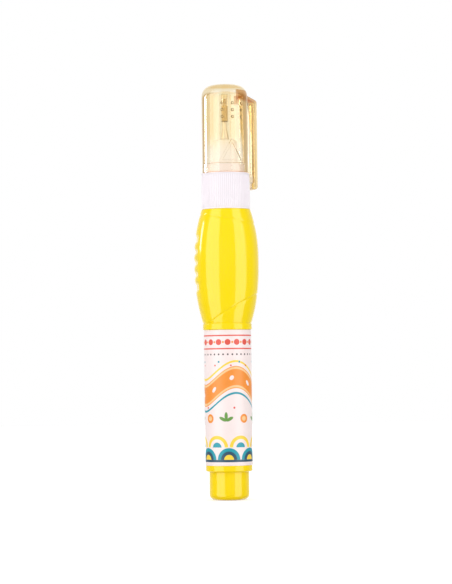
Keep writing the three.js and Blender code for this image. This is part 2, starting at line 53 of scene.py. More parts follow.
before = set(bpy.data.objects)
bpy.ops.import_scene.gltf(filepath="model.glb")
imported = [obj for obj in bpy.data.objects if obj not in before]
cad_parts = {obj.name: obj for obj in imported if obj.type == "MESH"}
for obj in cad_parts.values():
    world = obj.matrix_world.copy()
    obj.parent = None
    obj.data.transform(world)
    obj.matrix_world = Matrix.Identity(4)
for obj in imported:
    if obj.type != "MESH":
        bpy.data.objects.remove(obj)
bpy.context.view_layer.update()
MM = 0.001
EXPONENTIAL = 2.718

# Points round a fine, a large, a small and a tiny turned piece
FINE_ROUND = 256
ROUND = 192
SMALL_ROUND = 96
TINY_ROUND = 64

# Points along one turn of the spring, and round its wire
SPRING_STEPS = 32
SPRING_SIDES = 12

# Angle in degrees past which an edge is shaded sharp, and the depth of a moulded plastic's skin
SHARP = 35
SKIN_DEPTH = 0.01 * MM

# Below this radius a profile's point lies on the axis, and below this distance points merge
ON_AXIS = 1e-7
MERGED = 1e-6


def box_of(node):
    """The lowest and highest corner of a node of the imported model."""
    return [Vector(corner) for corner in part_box(node)]


def linear(red, green, blue):
    """A scene-linear colour from its 0 to 255 display values."""
    shares = (value / 255 for value in (red, green, blue))
    return tuple(s / 12.92 if s <= 0.04045 else ((s + 0.055) / 1.055) ** 2.4 for s in shares)


# Settings that a user would change


def length(name, millimetres, description):
    default = millimetres * MM
    return FloatProperty(
        name=name, description=description, default=default, precision=5, subtype="DISTANCE", unit="LENGTH"
    )


def angle(name, degrees, description):
    return FloatProperty(
        name=name, description=description, default=math.radians(degrees), subtype="ANGLE", unit="ROTATION"
    )


def number(name, value, description):
    return FloatProperty(name=name, description=description, default=value, precision=3)


def count(name, value, description):
    return IntProperty(name=name, description=description, default=value, min=1)


def colour(name, value, description):
    return FloatVectorProperty(
        name=name, description=description, default=value, size=3, min=0.0, max=1.0, subtype="COLOR"
    )


class PenBottleSizes(bpy.types.PropertyGroup):
    """Sizes of the bottle below and above its bulb."""

    tail_radius: length("Tail radius", 6.7, "Radius of the stepped-down tail")
    tail_height: length("Tail height", 9.55, "Height of the tail up to the ring")
    tail_corner: length("Tail corner", 1.95, "Rounding round the tail's foot")
    ring_radius: length("Ring radius", 7.87, "Radius of the ring under the label")
    ring_height: length("Ring height", 2.0, "Height of the ring under the label")
    panel_radius: length("Panel radius", 7.85, "Radius of the wall that the label is on")
    panel_height: length("Panel height", 45.5, "Height of the wall that the label is on")
    bead_radius: length("Bead radius", 8.28, "Radius of the bead over the label")
    bead_height: length("Bead height", 2.35, "Height of the bead over the label")
    wall: length("Wall", 0.9, "Thickness of the bottle's wall")
    floor: length("Floor", 1.1, "Thickness of the bottle's floor")
    neck_radius: length("Neck radius", 6.3, "Radius of the neck inside the collar")
    neck_height: length("Neck height", 9.9, "Height of the neck inside the collar")
    neck_wall: length("Neck wall", 1.1, "Thickness of the neck's wall")


class PenBulbSizes(bpy.types.PropertyGroup):
    """Sizes of the squeeze bulb, its creases and its thumb grip."""

    belly_radius: length("Belly radius", 10.92, "Largest radius of the bulb")
    foot_radius: length("Foot radius", 8.2, "Radius of the bulb at its foot")
    top_radius: length("Top radius", 8.3, "Radius of the bulb at its top")
    height: length("Height", 38.1, "Height of the bulb")
    belly_height: length("Belly height", 21.1, "Height of the belly over the bulb's foot")
    lower_falloff: number("Lower falloff", 2.5, "Power by which the radius falls below the belly")
    upper_falloff: number("Upper falloff", 2.15, "Power by which the radius falls above the belly")
    wall: length("Wall", 1.2, "Thickness of the bulb's wall")
    roof: length("Roof", 1.3, "Thickness of the shoulder under the collar")
    lower_depth: length("Lower crease depth", 0.2, "Depth of the lower crease at its high end")
    lower_fade: number("Lower crease fade", 0.12, "Half the share of its depth that the lower crease loses")
    upper_depth: length("Upper crease depth", 0.14, "Depth of the upper crease")
    crease_edge: length("Crease edge", 0.55, "Width of a crease's steep side")
    crease_ease: length("Crease ease", 0.6, "Length over which a crease's other side eases out")
    lower_crease: length("Lower crease", 3.9, "Mean height of the lower crease over the bulb's foot")
    lower_swing: length("Lower swing", 5.6, "Rise and fall of the lower crease")
    upper_drop: length("Upper drop", 3.25, "Mean drop of the upper crease below the bulb's top")
    upper_rise: length("Upper rise", 1.65, "Rise of the upper crease towards the grip")
    grip_azimuth: angle("Grip azimuth", 270, "Middle of the thumb grip round the pen")
    grip_half: angle("Grip half angle", 30, "Half the width of the thumb grip")
    grip_fade: angle("Grip fade", 14, "Angle over which the grip's sides fade out")
    grip_height: length("Grip height", 20.2, "Height of the thumb grip")
    grip_lowering: length("Grip lowering", 1.0, "Drop of the grip's middle below the belly")
    grip_depth: length("Grip depth", 0.5, "Depth of the thumb grip")
    grip_edge: length("Grip edge", 1.6, "Height over which the grip's ends fade out")
    ridge_count: count("Ridges", 4, "Number of ridges across the thumb grip")
    ridge_pitch: length("Ridge pitch", 3.83, "Distance from ridge to ridge")
    ridge_width: length("Ridge width", 3.1, "Width of a ridge")


class PenCollarSizes(bpy.types.PropertyGroup):
    """Sizes of the ribbed collar."""

    foot_radius: length("Foot radius", 8.25, "Radius over the ribs at the collar's foot")
    top_radius: length("Top radius", 8.14, "Radius over the ribs at the collar's top")
    height: length("Height", 12.2, "Height of the ribbed skirt")
    rib_count: count("Ribs", 76, "Number of ribs round the collar")
    rib_depth: length("Rib depth", 0.17, "Depth of the grooves between the ribs")
    rib_share: number("Rib share", 0.66, "Share of the pitch that a rib takes")
    spigot_radius: length("Spigot radius", 6.6, "Radius of the spigot that the cap fits over")


class PenSpringSizes(bpy.types.PropertyGroup):
    """Sizes of the valve's spring."""

    wire: length("Wire", 0.36, "Thickness of the spring's wire")
    turns: count("Turns", 7, "Turns of the spring, with the closer turn at each end")
    dead_pitch: length("End pitch", 0.85, "Rise of the closer turn at each end")


class PenCapSizes(bpy.types.PropertyGroup):
    """Sizes of the clear cap, its raised marks and its clip."""

    radius: length("Radius", 7.75, "Outer radius of the cap")
    height: length("Height", 29.85, "Height of the cap")
    corner: length("Corner", 5.0, "Rounding round the cap's top")
    roof: length("Roof", 2.15, "Thickness of the cap's top")
    wall: length("Wall", 1.2, "Thickness of the cap's wall")
    draft: length("Draft", 0.25, "Drawing-in of the hollow towards the top")
    inner_corner: length("Inner corner", 2.2, "Rounding of the hollow's ceiling")
    mouth_height: length("Mouth height", 3.1, "Height of the wider mouth")
    dot_azimuth: angle("Dot azimuth", 20, "Middle column of the raised dots")
    dot_step: angle("Dot step", 25.8, "Angle between the columns of dots")
    dot_pitch: length("Dot pitch", 2.3, "Distance between the rows of dots")
    dot_drop: length("Dot drop", 6.75, "Drop of the top row below the cap's top")
    dot_radius: length("Dot radius", 0.55, "Radius of a raised dot")
    dot_proud: length("Dot height", 0.28, "Height of a raised dot")
    triangle_azimuth: angle("Triangle azimuth", 18, "Middle of the raised triangle")
    triangle_side: length("Triangle side", 8.15, "Side of the triangle along its line's middle")
    triangle_line: length("Triangle line", 0.95, "Width of the triangle's line")
    triangle_foot: length("Triangle foot", 3.5, "Height of the triangle's base over the mouth")
    triangle_proud: length("Triangle height", 0.22, "Height of the raised triangle")
    clip_azimuth: angle("Clip azimuth", 109, "Middle of the pocket clip")
    clip_width: length("Clip width", 5.0, "Width of the pocket clip")
    clip_thickness: length("Clip thickness", 1.6, "Thickness of the pocket clip")
    clip_drop: length("Clip drop", 5.4, "Reach of the clip below the cap's mouth")


class PenFinishes(bpy.types.PropertyGroup):
    """Colours of the plastics, the film's print and the metals."""

    bottle: colour("Bottle", linear(254, 224, 8), "Yellow of the bottle and bulb")
    tail: colour("Tail", linear(255, 222, 8), "Warmer yellow of the thick tail")
    film: colour("Film", linear(249, 234, 232), "Ground colour of the label film")
    coral: colour("Coral", linear(232, 84, 68), "Coral of the print")
    orange: colour("Orange", linear(248, 147, 43), "Orange of the print")
    peach: colour("Peach", linear(252, 205, 145), "Pale border of the print's orange")
    teal: colour("Teal", linear(12, 158, 176), "Teal of the print")
    slate: colour("Slate", linear(44, 84, 108), "Blue-grey of the print")
    lemon: colour("Lemon", linear(252, 216, 60), "Yellow of the print")
    leaf: colour("Leaf", linear(108, 160, 72), "Green of the print")
    ink: colour("Ink", linear(70, 66, 68), "Dark grey of the print")
    collar: colour("Collar", linear(251, 244, 249), "White of the collar")
    # Painted light: a whiter, bluer white than the collar's, to make up for the amber light that reaches the
    # nozzle through the cap
    nozzle: colour("Nozzle", linear(250, 250, 253), "White of the nozzle")
    amber: colour("Amber", (0.88, 0.66, 0.16), "Tint that the clear cap takes on with thickness")
    amber_skin: colour("Amber skin", (0.99, 0.97, 0.87), "Tint that light takes on at the cap's surface")
    amber_streak: colour("Amber streak", (0.95, 0.8, 0.52), "Tint of the flow lines along the cap")
    amber_pale: colour("Amber pale", (1.0, 0.99, 0.97), "Paler tint towards the cap's mouth")
    # Painted shade on the sides of the raised marks
    amber_mark_shade: colour("Amber edge", (0.22, 0.14, 0.05), "Tint on the sides of the raised marks")
    amber_clip: colour("Amber clip", (0.95, 0.83, 0.6), "Deeper tint along the clip")
    # Painted shade on the clip's narrow sides
    amber_clip_side_shade: colour("Amber side", (0.88, 0.68, 0.28), "Tint of the clip's narrow sides")
    # Painted shade with deeper amber, where the clip springs from the cap
    amber_root_shade: colour("Amber root", (0.5, 0.2, 0.06), "Deepest tint, where the clip springs from the cap")
    # Painted shade along the cap's mouth and its inner step
    amber_rim_shade: colour("Amber rim", (0.72, 0.42, 0.28), "Tint along the cap's mouth and its inner step")
    seal: colour("Seal", linear(226, 202, 150), "Pale amber of the soft seal")
    steel: colour("Steel", linear(206, 207, 210), "Bright steel")
    nickel: colour("Nickel", linear(232, 224, 206), "Plated metal of the tip")
    natural: colour("Natural", linear(228, 226, 218), "Natural plastic of the valve")


class PenStageSettings(bpy.types.PropertyGroup):
    """Camera and lights."""

    camera_distance: length("Camera distance", 750, "Distance of the camera from the pen's axis")
    camera_height: length("Camera height", 41, "Height of the camera")
    camera_side: length("Camera side", -0.3, "Sideways place of the camera")
    camera_pitch: angle("Camera pitch", 2.2, "Upward tilt of the camera")
    camera_roll: angle("Camera roll", -0.76, "Turn of the camera about its view")
    camera_lens: number("Camera lens", 137.3, "Focal length in millimetres")
    strip_level: number("Strip level", 1.7, "Brightness of the two tall strips that glossy surfaces show")
    key_level: number("Key level", 0.6, "Brightness of the broad soft light from the front")
    glint_level: number("Glint level", 11.0, "Brightness of the small side light")
    fill_level: number("Fill level", 1.05, "Brightness of the soft light from all round")
    mirror_level: number("Mirror level", 0.05, "Brightness of the studio's front in glossy surfaces")
    mirror_back: number("Mirror back", 0.5, "Brightness of the studio's back in glossy surfaces")
    side_tone: colour("Side tone", (0.66, 0.5, 0.28), "Tone of the studio's sides through clear plastic")
    floor_glow: number("Floor glow", 0.35, "Light added to the floor that the camera sees, near the pen")
    far_glow: number("Far glow", 0.75, "Light added to the floor that the camera sees, away from the pen")


# Meshes


def rounded(corners, steps=5, closed=True):
    """A profile through corners of (radius, height, rounding). A rounding takes at most about half a side."""
    most = 0.48
    points = []
    for i, (radius, height, size) in enumerate(corners):
        here = Vector((radius, height))
        if size <= 0 or (not closed and i in (0, len(corners) - 1)):
            points.append(here)
            continue
        back = Vector(corners[i - 1][:2]) - here
        ahead = Vector(corners[(i + 1) % len(corners)][:2]) - here
        half = back.angle(ahead) / 2
        reach = min(size / math.tan(half), most * back.length, most * ahead.length)
        centre = here + (back.normalized() + ahead.normalized()).normalized() * (reach / math.cos(half))
        start = here + back.normalized() * reach - centre
        sweep = start.angle_signed(here + ahead.normalized() * reach - centre)
        for step in range(steps + 1):
            points.append(centre + Matrix.Rotation(-sweep * step / steps, 2) @ start)
    return points


def turned(profile, segments=ROUND):
    """Rows of points round the pen, one row for each point of a profile; a point on the axis gives a pole."""
    rows = []
    for radius, height in profile:
        if radius < ON_AXIS:
            rows.append([Vector((0, 0, height))])
            continue
        turns = (2 * math.pi * i / segments for i in range(segments))
        rows.append([Vector((radius * math.sin(a), -radius * math.cos(a), height)) for a in turns])
    return rows


def skin(rows, closed):
    """A bmesh over rows of points. A row of one point is a pole; closed joins the last row to the first."""
    made = bmesh.new()
    rings = [[made.verts.new(point) for point in row] for row in rows]
    pairs = list(zip(rings, rings[1:])) + ([(rings[-1], rings[0])] if closed else [])
    for low, high in pairs:
        size = max(len(low), len(high))
        for i in range(size):
            j = (i + 1) % size
            corners = [low[i % len(low)], low[j % len(low)], high[j % len(high)], high[i % len(high)]]
            made.faces.new(list(dict.fromkeys(corners)))
    if made.calc_volume(signed=True) < 0:
        bmesh.ops.reverse_faces(made, faces=made.faces[:])
    return made


def piece_from(name, made, material, crease_angle=SHARP):
    """A mesh object at the origin from one bmesh or a list of them."""
    mesh = bpy.data.meshes.new(name)
    parts = made if isinstance(made, list) else [made]
    whole = parts[0]
    for part in parts[1:]:
        extra = bpy.data.meshes.new("extra")
        part.to_mesh(extra)
        part.free()
        whole.from_mesh(extra)
        bpy.data.meshes.remove(extra)
    whole.to_mesh(mesh)
    whole.free()
    mesh.shade_smooth()
    mesh.set_sharp_from_angle(angle=math.radians(crease_angle))
    mesh.materials.append(material)
    piece = bpy.data.objects.new(name, mesh)
    bpy.context.scene.collection.objects.link(piece)
    return piece


def turned_piece(name, profile, material, segments=ROUND, closed=True, steps=5):
    """A piece turned from corners of (radius, height, rounding), which run up the outside."""
    rows = turned(rounded(profile, steps, closed), segments)
    return piece_from(name, skin(rows, closed), material)


def stand_for(piece, node, body):
    """Lets a piece ride on a body in place of a node, which it hides."""
    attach(piece, body)
    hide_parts(node)


def on_wall(points, radius, azimuth, height):
    """Moves points that face +Z onto a round wall, facing out at an azimuth and a height."""
    matrix = (
        Matrix.Rotation(azimuth, 4, "Z")
        @ Matrix.Translation((0, -radius, height))
        @ Matrix.Rotation(math.pi / 2, 4, "X")
    )
    return [[matrix @ point for point in row] for row in points]


# Node trees


class Socket:
    """A node's output, on which Python's operators add Math nodes."""

    def __init__(self, graph, output):
        self.graph, self.output = graph, output

    def other(self, name):
        return Socket(self.graph, self.output.node.outputs[name])

    def math(self, operation, *others, clamp=False):
        values = dict(enumerate((self, *others)))
        return self.graph.add("ShaderNodeMath", {"operation": operation, "use_clamp": clamp}, values)

    def after(self, first, operation):
        """A Math node with this output as its second value."""
        return self.graph.add("ShaderNodeMath", {"operation": operation}, {0: first, 1: self})

    def __add__(self, other):
        return self.math("ADD", other)

    def __sub__(self, other):
        return self.math("SUBTRACT", other)

    def __mul__(self, other):
        return self.math("MULTIPLY", other)

    def __truediv__(self, other):
        return self.math("DIVIDE", other)

    def __pow__(self, other):
        return self.math("POWER", other)

    def __radd__(self, other):
        return self.after(other, "ADD")

    def __rsub__(self, other):
        return self.after(other, "SUBTRACT")

    def __rmul__(self, other):
        return self.after(other, "MULTIPLY")

    def __rpow__(self, other):
        return self.after(other, "POWER")

    def __neg__(self):
        return self.math("MULTIPLY", -1.0)

    def __abs__(self):
        return self.math("ABSOLUTE")

    def __lt__(self, other):
        return self.math("LESS_THAN", other)

    def __gt__(self, other):
        return self.math("GREATER_THAN", other)

    def clamped(self):
        return self.math("ADD", 0.0, clamp=True)

    def smooth(self):
        """Eases a share from 0 to 1, clamped."""
        share = self.clamped()
        return share * share * (3.0 - 2.0 * share)

    def repeat(self, pitch):
        """The distance from the nearest of marks that stand a pitch apart."""
        return self.math("WRAP", pitch / 2, -pitch / 2)


class Graph:
    """A node tree that is built by calls."""

    def __init__(self, tree):
        self.tree = tree

    def add(self, kind, settings=None, inputs=None, output=0):
        """Adds a node: its settings first, then values or links for its inputs; gives one of its outputs."""
        node = self.tree.nodes.new(kind)
        for name, value in (settings or {}).items():
            setattr(node, name, value)
        for key, value in (inputs or {}).items():
            socket = node.inputs[key]
            if isinstance(value, Socket):
                self.tree.links.new(value.output, socket)
            elif socket.type == "RGBA":
                socket.default_value = (*tuple(value)[:3], 1.0)
            else:
                socket.default_value = value
        return Socket(self, node.outputs[output]) if len(node.outputs) else node

    def mix(self, factor, first, second):
        """Mixes two colours."""
        return self.add("ShaderNodeMix", {"data_type": "RGBA"}, {0: factor, 6: first, 7: second}, 2)

    def place(self):
        """A piece's own coordinates as a vector."""
        return self.add("ShaderNodeTexCoord", output="Object")

    def parts(self, vector):
        """The three parts of a vector."""
        x = self.add("ShaderNodeSeparateXYZ", None, {0: vector})
        return x, x.other("Y"), x.other("Z")

    def noise(self, vector, scale, detail=2.0):
        return self.add("ShaderNodeTexNoise", None, {"Vector": vector, "Scale": scale, "Detail": detail})

    def stretched(self, vector, scale):
        """A vector with each part multiplied, for a grain with a direction."""
        return self.add("ShaderNodeVectorMath", {"operation": "MULTIPLY"}, {0: vector, 1: scale})

    def bump(self, height, distance, strength=1.0):
        values = {"Height": height, "Distance": distance, "Strength": strength}
        return self.add("ShaderNodeBump", None, values)


def new_finish(name):
    """An empty material and the graph of its nodes."""
    material = bpy.data.materials.new(name)
    material.use_nodes = True
    material.node_tree.nodes.clear()
    return material, Graph(material.node_tree)


def show(graph, surface, volume=None):
    inputs = {"Surface": surface}
    if volume:
        inputs["Volume"] = volume
    graph.add("ShaderNodeOutputMaterial", None, inputs)


def principled(graph, **inputs):
    named = {name.replace("_", " "): value for name, value in inputs.items()}
    return graph.add("ShaderNodeBsdfPrincipled", None, named)


def end_in_principled(material, graph, **inputs):
    """Ends a finish in one Principled shader and gives its material."""
    show(graph, principled(graph, **inputs))
    return material


def shaded(tint, *shares):
    """A colour times one share, or times a share for each of its three parts."""
    return [value * share for value, share in zip(tint, shares if len(shares) == 3 else shares * 3)]


# Finishes


def yellow_plastic(finishes):
    """Soft glossy polyethylene: a warmer tail, faint flow clouds, a parting line and a fine skin."""
    material, g = new_finish("yellow polyethylene")
    warm_top, warm_fade, parting_width = 12.5 * MM, 2 * MM, 0.09 * MM
    vector = g.place()
    y, z = g.parts(vector)[1:]
    base = g.mix(((warm_top - z) / warm_fade).smooth(), finishes.bottle, finishes.tail)
    clouds = ((g.noise(vector, scale=90.0, detail=3.0) - 0.5) * 2.2).clamped()
    base = g.mix(clouds * 0.55, base, shaded(finishes.bottle, 0.985, 0.93, 0.7))
    parting = EXPONENTIAL ** (-((y / parting_width) ** 2.0))
    smears = g.noise(g.stretched(vector, (1.0, 1.0, 0.25)), scale=420.0, detail=4.0)
    return end_in_principled(
        material,
        g,
        Base_Color=base,
        Roughness=0.12 + smears * 0.1,
        IOR=1.45,
        Coat_Weight=0.6,
        Coat_Roughness=0.06,
        Coat_IOR=1.5,
        Normal=g.bump(g.noise(vector, scale=1500.0) * 0.35 + parting, SKIN_DEPTH),
    )


def white_plastic(name, tint, grooves=None):
    """Satin white polypropylene with a fine moulded skin, and painted shade in the grooves below a tapered
    radius.
    """
    material, g = new_finish(name)
    vector = g.place()
    clouds = g.noise(vector, scale=140.0, detail=3.0).smooth()
    base = g.mix(clouds, tint, shaded(tint, 0.965, 0.955, 0.965))
    if grooves:
        foot, radius, taper = grooves
        shallow, fade = 0.05 * MM, 0.08 * MM
        x, y, z = g.parts(vector)
        sunk = radius - (z - foot) * taper - (x * x + y * y) ** 0.5
        # Painted shade in the grooves between the ribs: greyer where the surface lies below the tapered
        # radius
        base = g.mix(((sunk - shallow) / fade).clamped() * (sunk < MM), base, shaded(tint, 0.9))
    return end_in_principled(
        material,
        g,
        Base_Color=base,
        Roughness=0.34 + g.noise(vector, scale=700.0, detail=3.0) * 0.16,
        Normal=g.bump(g.noise(vector, scale=2600.0), SKIN_DEPTH),
    )


def label_film(finishes, radius, foot, height):
    """Satin film with a generic print: a dotted head, a wave, rows of arches, discs and leaves.

    The print is laid out in millimetres: u runs round the pen from its front, v runs up from the film's foot.
    """
    material, g = new_finish("printed label film")
    vector = g.place()
    x, y, z = g.parts(vector)
    around = 2 * math.pi * radius / MM
    u = x.math("ARCTAN2", -y) * (around / (2 * math.pi))
    v = (z - foot) / MM
    top = height / MM
    soft = 0.1

    def inside(distance, size):
        return ((size - distance) / soft + 0.5).clamped()

    def away(across, along):
        return (across * across + along * along) ** 0.5

    def leaf(across, along, turn, long, wide):
        c, s = math.cos(turn), math.sin(turn)
        a, b = across * c + along * s, along * c - across * s
        return inside((away(a / long, b / wide) - 1.0) * wide, 0.0)

    def paint(mask, tone):
        nonlocal base
        base = g.mix(mask, base, tone)

    def paint_line(distance, half, tone):
        paint(inside(abs(distance), half), tone)

    def paint_discs(discs, shift, level, size, tone):
        paint(inside(away((u - shift).repeat(around / discs), v - level), size), tone)

    shade = shaded(finishes.film, 0.985, 0.965, 0.965)
    base = g.mix(g.noise(vector, scale=160.0).smooth(), finishes.film, shade)

    # Head: dots between two lines, over a row of fine dots
    line_half = 0.22
    for drop in (1.9, 6.3):
        paint_line(v - (top - drop), line_half, finishes.coral)
    paint_discs(16, 0.0, top - 4.1, 1.0, finishes.coral)
    paint_discs(16, around / 32, top - 4.1, 0.36, finishes.orange)
    paint_discs(32, 0.0, top - 8.2, 0.3, finishes.ink)

    # Wave: two swells round the pen, with a border, a thin line on each side and spots along its middle
    swell, level, shift = 3.1, 26.4, 0.9
    wave = v - ((u * (4 * math.pi / around) + shift).math("SINE") * swell + level)
    for half, tone in ((3.7, finishes.orange), (3.4, finishes.peach), (2.7, finishes.orange)):
        paint_line(wave, half, tone)
    for rise, tone in ((5.3, finishes.lemon), (-5.3, finishes.teal)):
        paint_line(wave - rise, 0.35, tone)
    paint(inside(away((u + around * 0.1).repeat(around / 8), wave), 0.75), finishes.film)

    # Foot: two rows of arches, each of four rings, over a line
    sixth = around / 6
    rings = (4.15, 3.9, 2.75, 1.65)
    upper = (finishes.film, finishes.lemon, finishes.film, finishes.teal)
    lower = (finishes.film, finishes.teal, finishes.slate, finishes.lemon)
    for shift, level, tones in ((sixth / 2, 6.1, upper), (0.0, 2.0, lower)):
        across, along = (u - shift).repeat(sixth), v - level
        arch = away(across, along)
        over = (along > 0.0) * 1.0
        for size, tone in zip(rings, tones):
            paint(inside(arch, size) * over, tone)
    paint_line(v - 1.6, 0.4, finishes.slate)

    # Middle: ringed discs, sprigs of three leaves and small dots
    paint_discs(4, 5.6, 15.7, 1.5, finishes.orange)
    paint_discs(4, 5.6, 15.7, 0.8, finishes.peach)
    across, along = (u + 0.8).repeat(around / 4), v - 14.9
    for turn, reach in ((0.5, 1.3), (1.57, 1.6), (2.64, 1.3)):
        c, s = math.cos(turn) * reach, math.sin(turn) * reach
        paint(leaf(across - c, along - s, turn, 1.35, 0.55), finishes.leaf)
    paint_discs(5, 2.0, 19.3, 0.35, finishes.coral)
    paint_discs(7, 4.0, 34.6, 0.35, finishes.teal)
    paint_discs(9, 1.0, 33.4, 0.3, finishes.coral)

    lap_place, lap_half = around / 2 - 0.8, 0.04
    lap = inside(abs(abs(u) - lap_place), lap_half)
    return end_in_principled(
        material,
        g,
        Base_Color=g.mix(lap * 0.5, base, shade),
        Roughness=0.32 + g.noise(vector, scale=900.0, detail=3.0) * 0.12,
        Coat_Weight=0.2,
        Coat_Roughness=0.25,
        Normal=g.bump(g.noise(vector, scale=1800.0) * 0.4 - lap, SKIN_DEPTH),
    )


def clear_plastic(g, edge, roughness, flow, tint, density):
    """Shows clear plastic. A ray that it mirrors back inside leaves straight on, so that none is trapped."""
    glass = principled(
        g,
        Base_Color=edge,
        Roughness=roughness,
        IOR=1.5,
        Transmission_Weight=1.0,
        Normal=g.bump(flow, 0.06 * MM, strength=0.12),
    )
    clear = g.add("ShaderNodeBsdfTransparent", None, {"Color": (1.0, 1.0, 1.0)})
    passing = g.add("ShaderNodeBsdfTransparent", None, {"Color": (0.97, 0.97, 0.97)})
    rays = g.add("ShaderNodeLightPath", output="Is Shadow Ray")
    mirrored = rays.other("Glossy Depth") > 0.5
    untrapped = g.add("ShaderNodeMixShader", None, {0: mirrored, 1: glass, 2: clear})
    surface = g.add("ShaderNodeMixShader", None, {0: rays, 1: untrapped, 2: passing})
    show(g, surface, g.add("ShaderNodeVolumeAbsorption", None, {"Color": tint, "Density": density}))


def amber_plastic(finishes, radius, seat, step, clip_root):
    """Clear polystyrene, deeper amber where it is thick and in the clip; painted shade on the clip's narrow
    sides, painted shade with deeper amber at its root, and painted shade at the edges of the marks and mouth.
    """
    material, g = new_finish("clear amber polystyrene")
    vector = g.place()
    x, y, z = g.parts(vector)
    normal_x, normal_y, normal_z = g.parts(g.add("ShaderNodeNewGeometry", output="Normal"))
    reach = (x * x + y * y) ** 0.5
    facing = abs(normal_x * x + normal_y * y) / reach

    # The wall: flow lines along it, paler below the level of the dots
    below_dots, pale_fade = seat + 14.0 * MM, 8.0 * MM
    streaks = g.noise(g.stretched(vector, (1.0, 1.0, 0.03)), scale=280.0)
    edge = g.mix(((streaks - 0.42) * 5.0).smooth() * 0.6, finishes.amber_skin, finishes.amber_streak)
    edge = g.mix(((below_dots - z) / pale_fade).smooth() * 0.85, edge, finishes.amber_pale)

    # Painted shade on the sides of the raised marks. Of the triangle's sides, the one that faces up and right
    # gets the darkest painted shade.
    mark_foot, mark_top = radius + 0.02 * MM, radius + 0.35 * MM
    marks = (reach > mark_foot) * (reach < mark_top)
    sides = marks * ((0.96 - facing) / 0.16).clamped()
    lean = math.radians(60)
    across = (normal_y * x - normal_x * y) / reach
    turned_to = (across * math.sin(lean) + normal_z * math.cos(lean)).clamped()
    sides = sides * (1.0 - (z < below_dots) * (1.0 - turned_to ** 2.0) * 0.72)
    edge = g.mix(sides, edge, finishes.amber_mark_shade)

    # The clip's deeper amber, painted shade on its narrow sides, and painted shade with deeper amber at the
    # root that it springs from
    clip_start, root_start, root_side = radius + 0.5 * MM, radius - 0.4 * MM, 0.5 * radius
    clip = (reach > clip_start) * 1.0
    edge = g.mix(clip, edge, finishes.amber_clip)
    edge = g.mix(clip * ((0.8 - facing) / 0.5).smooth(), edge, finishes.amber_clip_side_shade)
    # Painted shade with deeper amber at the clip's root
    root = (reach > root_start) * (x > root_side) * ((z - clip_root) / MM).clamped()
    edge = g.mix(root, edge, finishes.amber_root_shade)

    # Painted shade along the mouth's edge, and fainter along the step inside it
    step_half, mouth_edge = 0.11 * MM, 0.28 * MM
    rim_shade_mask = ((abs(z - seat - step) < step_half) * 0.6).math("MAXIMUM", z < seat + mouth_edge) * (1.0 - clip)
    edge = g.mix(rim_shade_mask, edge, finishes.amber_rim_shade)
    flow = g.noise(g.stretched(vector, (1.0, 1.0, 0.3)), scale=130.0)
    clear_plastic(g, edge, roughness=0.03, flow=flow, tint=finishes.amber, density=95.0)
    return material


def seal_rubber(finishes, foot):
    """Soft pale seal with a dull skin and painted shade round its lip."""
    material, g = new_finish("soft seal")
    lip = 0.35 * MM
    vector = g.place()
    z = g.parts(vector)[2]
    clouds = g.noise(vector, scale=500.0, detail=3.0).smooth()
    base = g.mix(clouds, finishes.seal, shaded(finishes.seal, 0.86))
    # Painted shade round the seal's lip
    base = g.mix((z < foot + lip) * 0.7, base, shaded(finishes.seal, 0.45))
    skin_height = g.noise(vector, scale=2400.0, detail=3.0)
    return end_in_principled(
        material, g, Base_Color=base, Roughness=0.45, Normal=g.bump(skin_height, 2 * SKIN_DEPTH)
    )


def drawn_metal(name, tint, grain, roughness):
    """Bright metal with the fine marks that turning or drawing leaves along one direction."""
    material, g = new_finish(name)
    marks = g.noise(g.stretched(g.place(), grain), scale=1.0, detail=3.0)
    return end_in_principled(
        material,
        g,
        Base_Color=g.mix(marks.smooth(), tint, shaded(tint, 0.86)),
        Metallic=1.0,
        Roughness=roughness + marks * 0.12,
        Normal=g.bump(marks, 0.4 * SKIN_DEPTH),
    )


def natural_plastic(finishes):
    """Uncoloured acetal, slightly uneven."""
    material, g = new_finish("natural acetal")
    vector = g.place()
    clouds = g.noise(vector, scale=300.0, detail=3.0).smooth()
    return end_in_principled(
        material,
        g,
        Base_Color=g.mix(clouds, finishes.natural, shaded(finishes.natural, 0.9)),
        Roughness=0.42,
        Normal=g.bump(g.noise(vector, scale=2600.0), SKIN_DEPTH),
    )


# Geometry Nodes


def new_tree(name, inputs):
    """A Geometry Nodes tree with named inputs of (name, kind), its graph, and its inputs as sockets."""
    tree = bpy.data.node_groups.new(name, "GeometryNodeTree")
    tree.interface.new_socket(name="Geometry", in_out="OUTPUT", socket_type="NodeSocketGeometry")
    for label, kind in inputs:
        tree.interface.new_socket(name=label, in_out="INPUT", socket_type="NodeSocket" + kind)
    graph = Graph(tree)
    first = graph.add("NodeGroupInput")
    return tree, graph, {label: first.other(label) for label, kind in inputs}


def finish_tree(graph, geometry, material):
    """Ends a tree in Realize Instances and Set Material."""
    solid = graph.add("GeometryNodeRealizeInstances", None, {0: geometry})
    solid = graph.add("GeometryNodeSetShadeSmooth", None, {"Geometry": solid})
    dressed = graph.add("GeometryNodeSetMaterial", None, {"Geometry": solid, "Material": material})
    graph.add("NodeGroupOutput", None, {0: dressed})


def grown(name, tree, values, crease_angle):
    """The plain mesh object that a tree makes with the given input values."""
    blank = bpy.data.objects.new(name + "_blank", bpy.data.meshes.new(name + "_blank"))
    bpy.context.scene.collection.objects.link(blank)
    modifier = blank.modifiers.new("shape", "NODES")
    modifier.node_group = tree
    for item in tree.interface.items_tree:
        if item.in_out == "INPUT":
            modifier[item.identifier] = values[item.name]
    bpy.context.view_layer.update()
    evaluated = blank.evaluated_get(bpy.context.evaluated_depsgraph_get())
    mesh = bpy.data.meshes.new_from_object(evaluated)
    mesh.name = name
    mesh.set_sharp_from_angle(angle=math.radians(crease_angle))
    bpy.data.objects.remove(blank)
    piece = bpy.data.objects.new(name, mesh)
    bpy.context.scene.collection.objects.link(piece)
    return piece


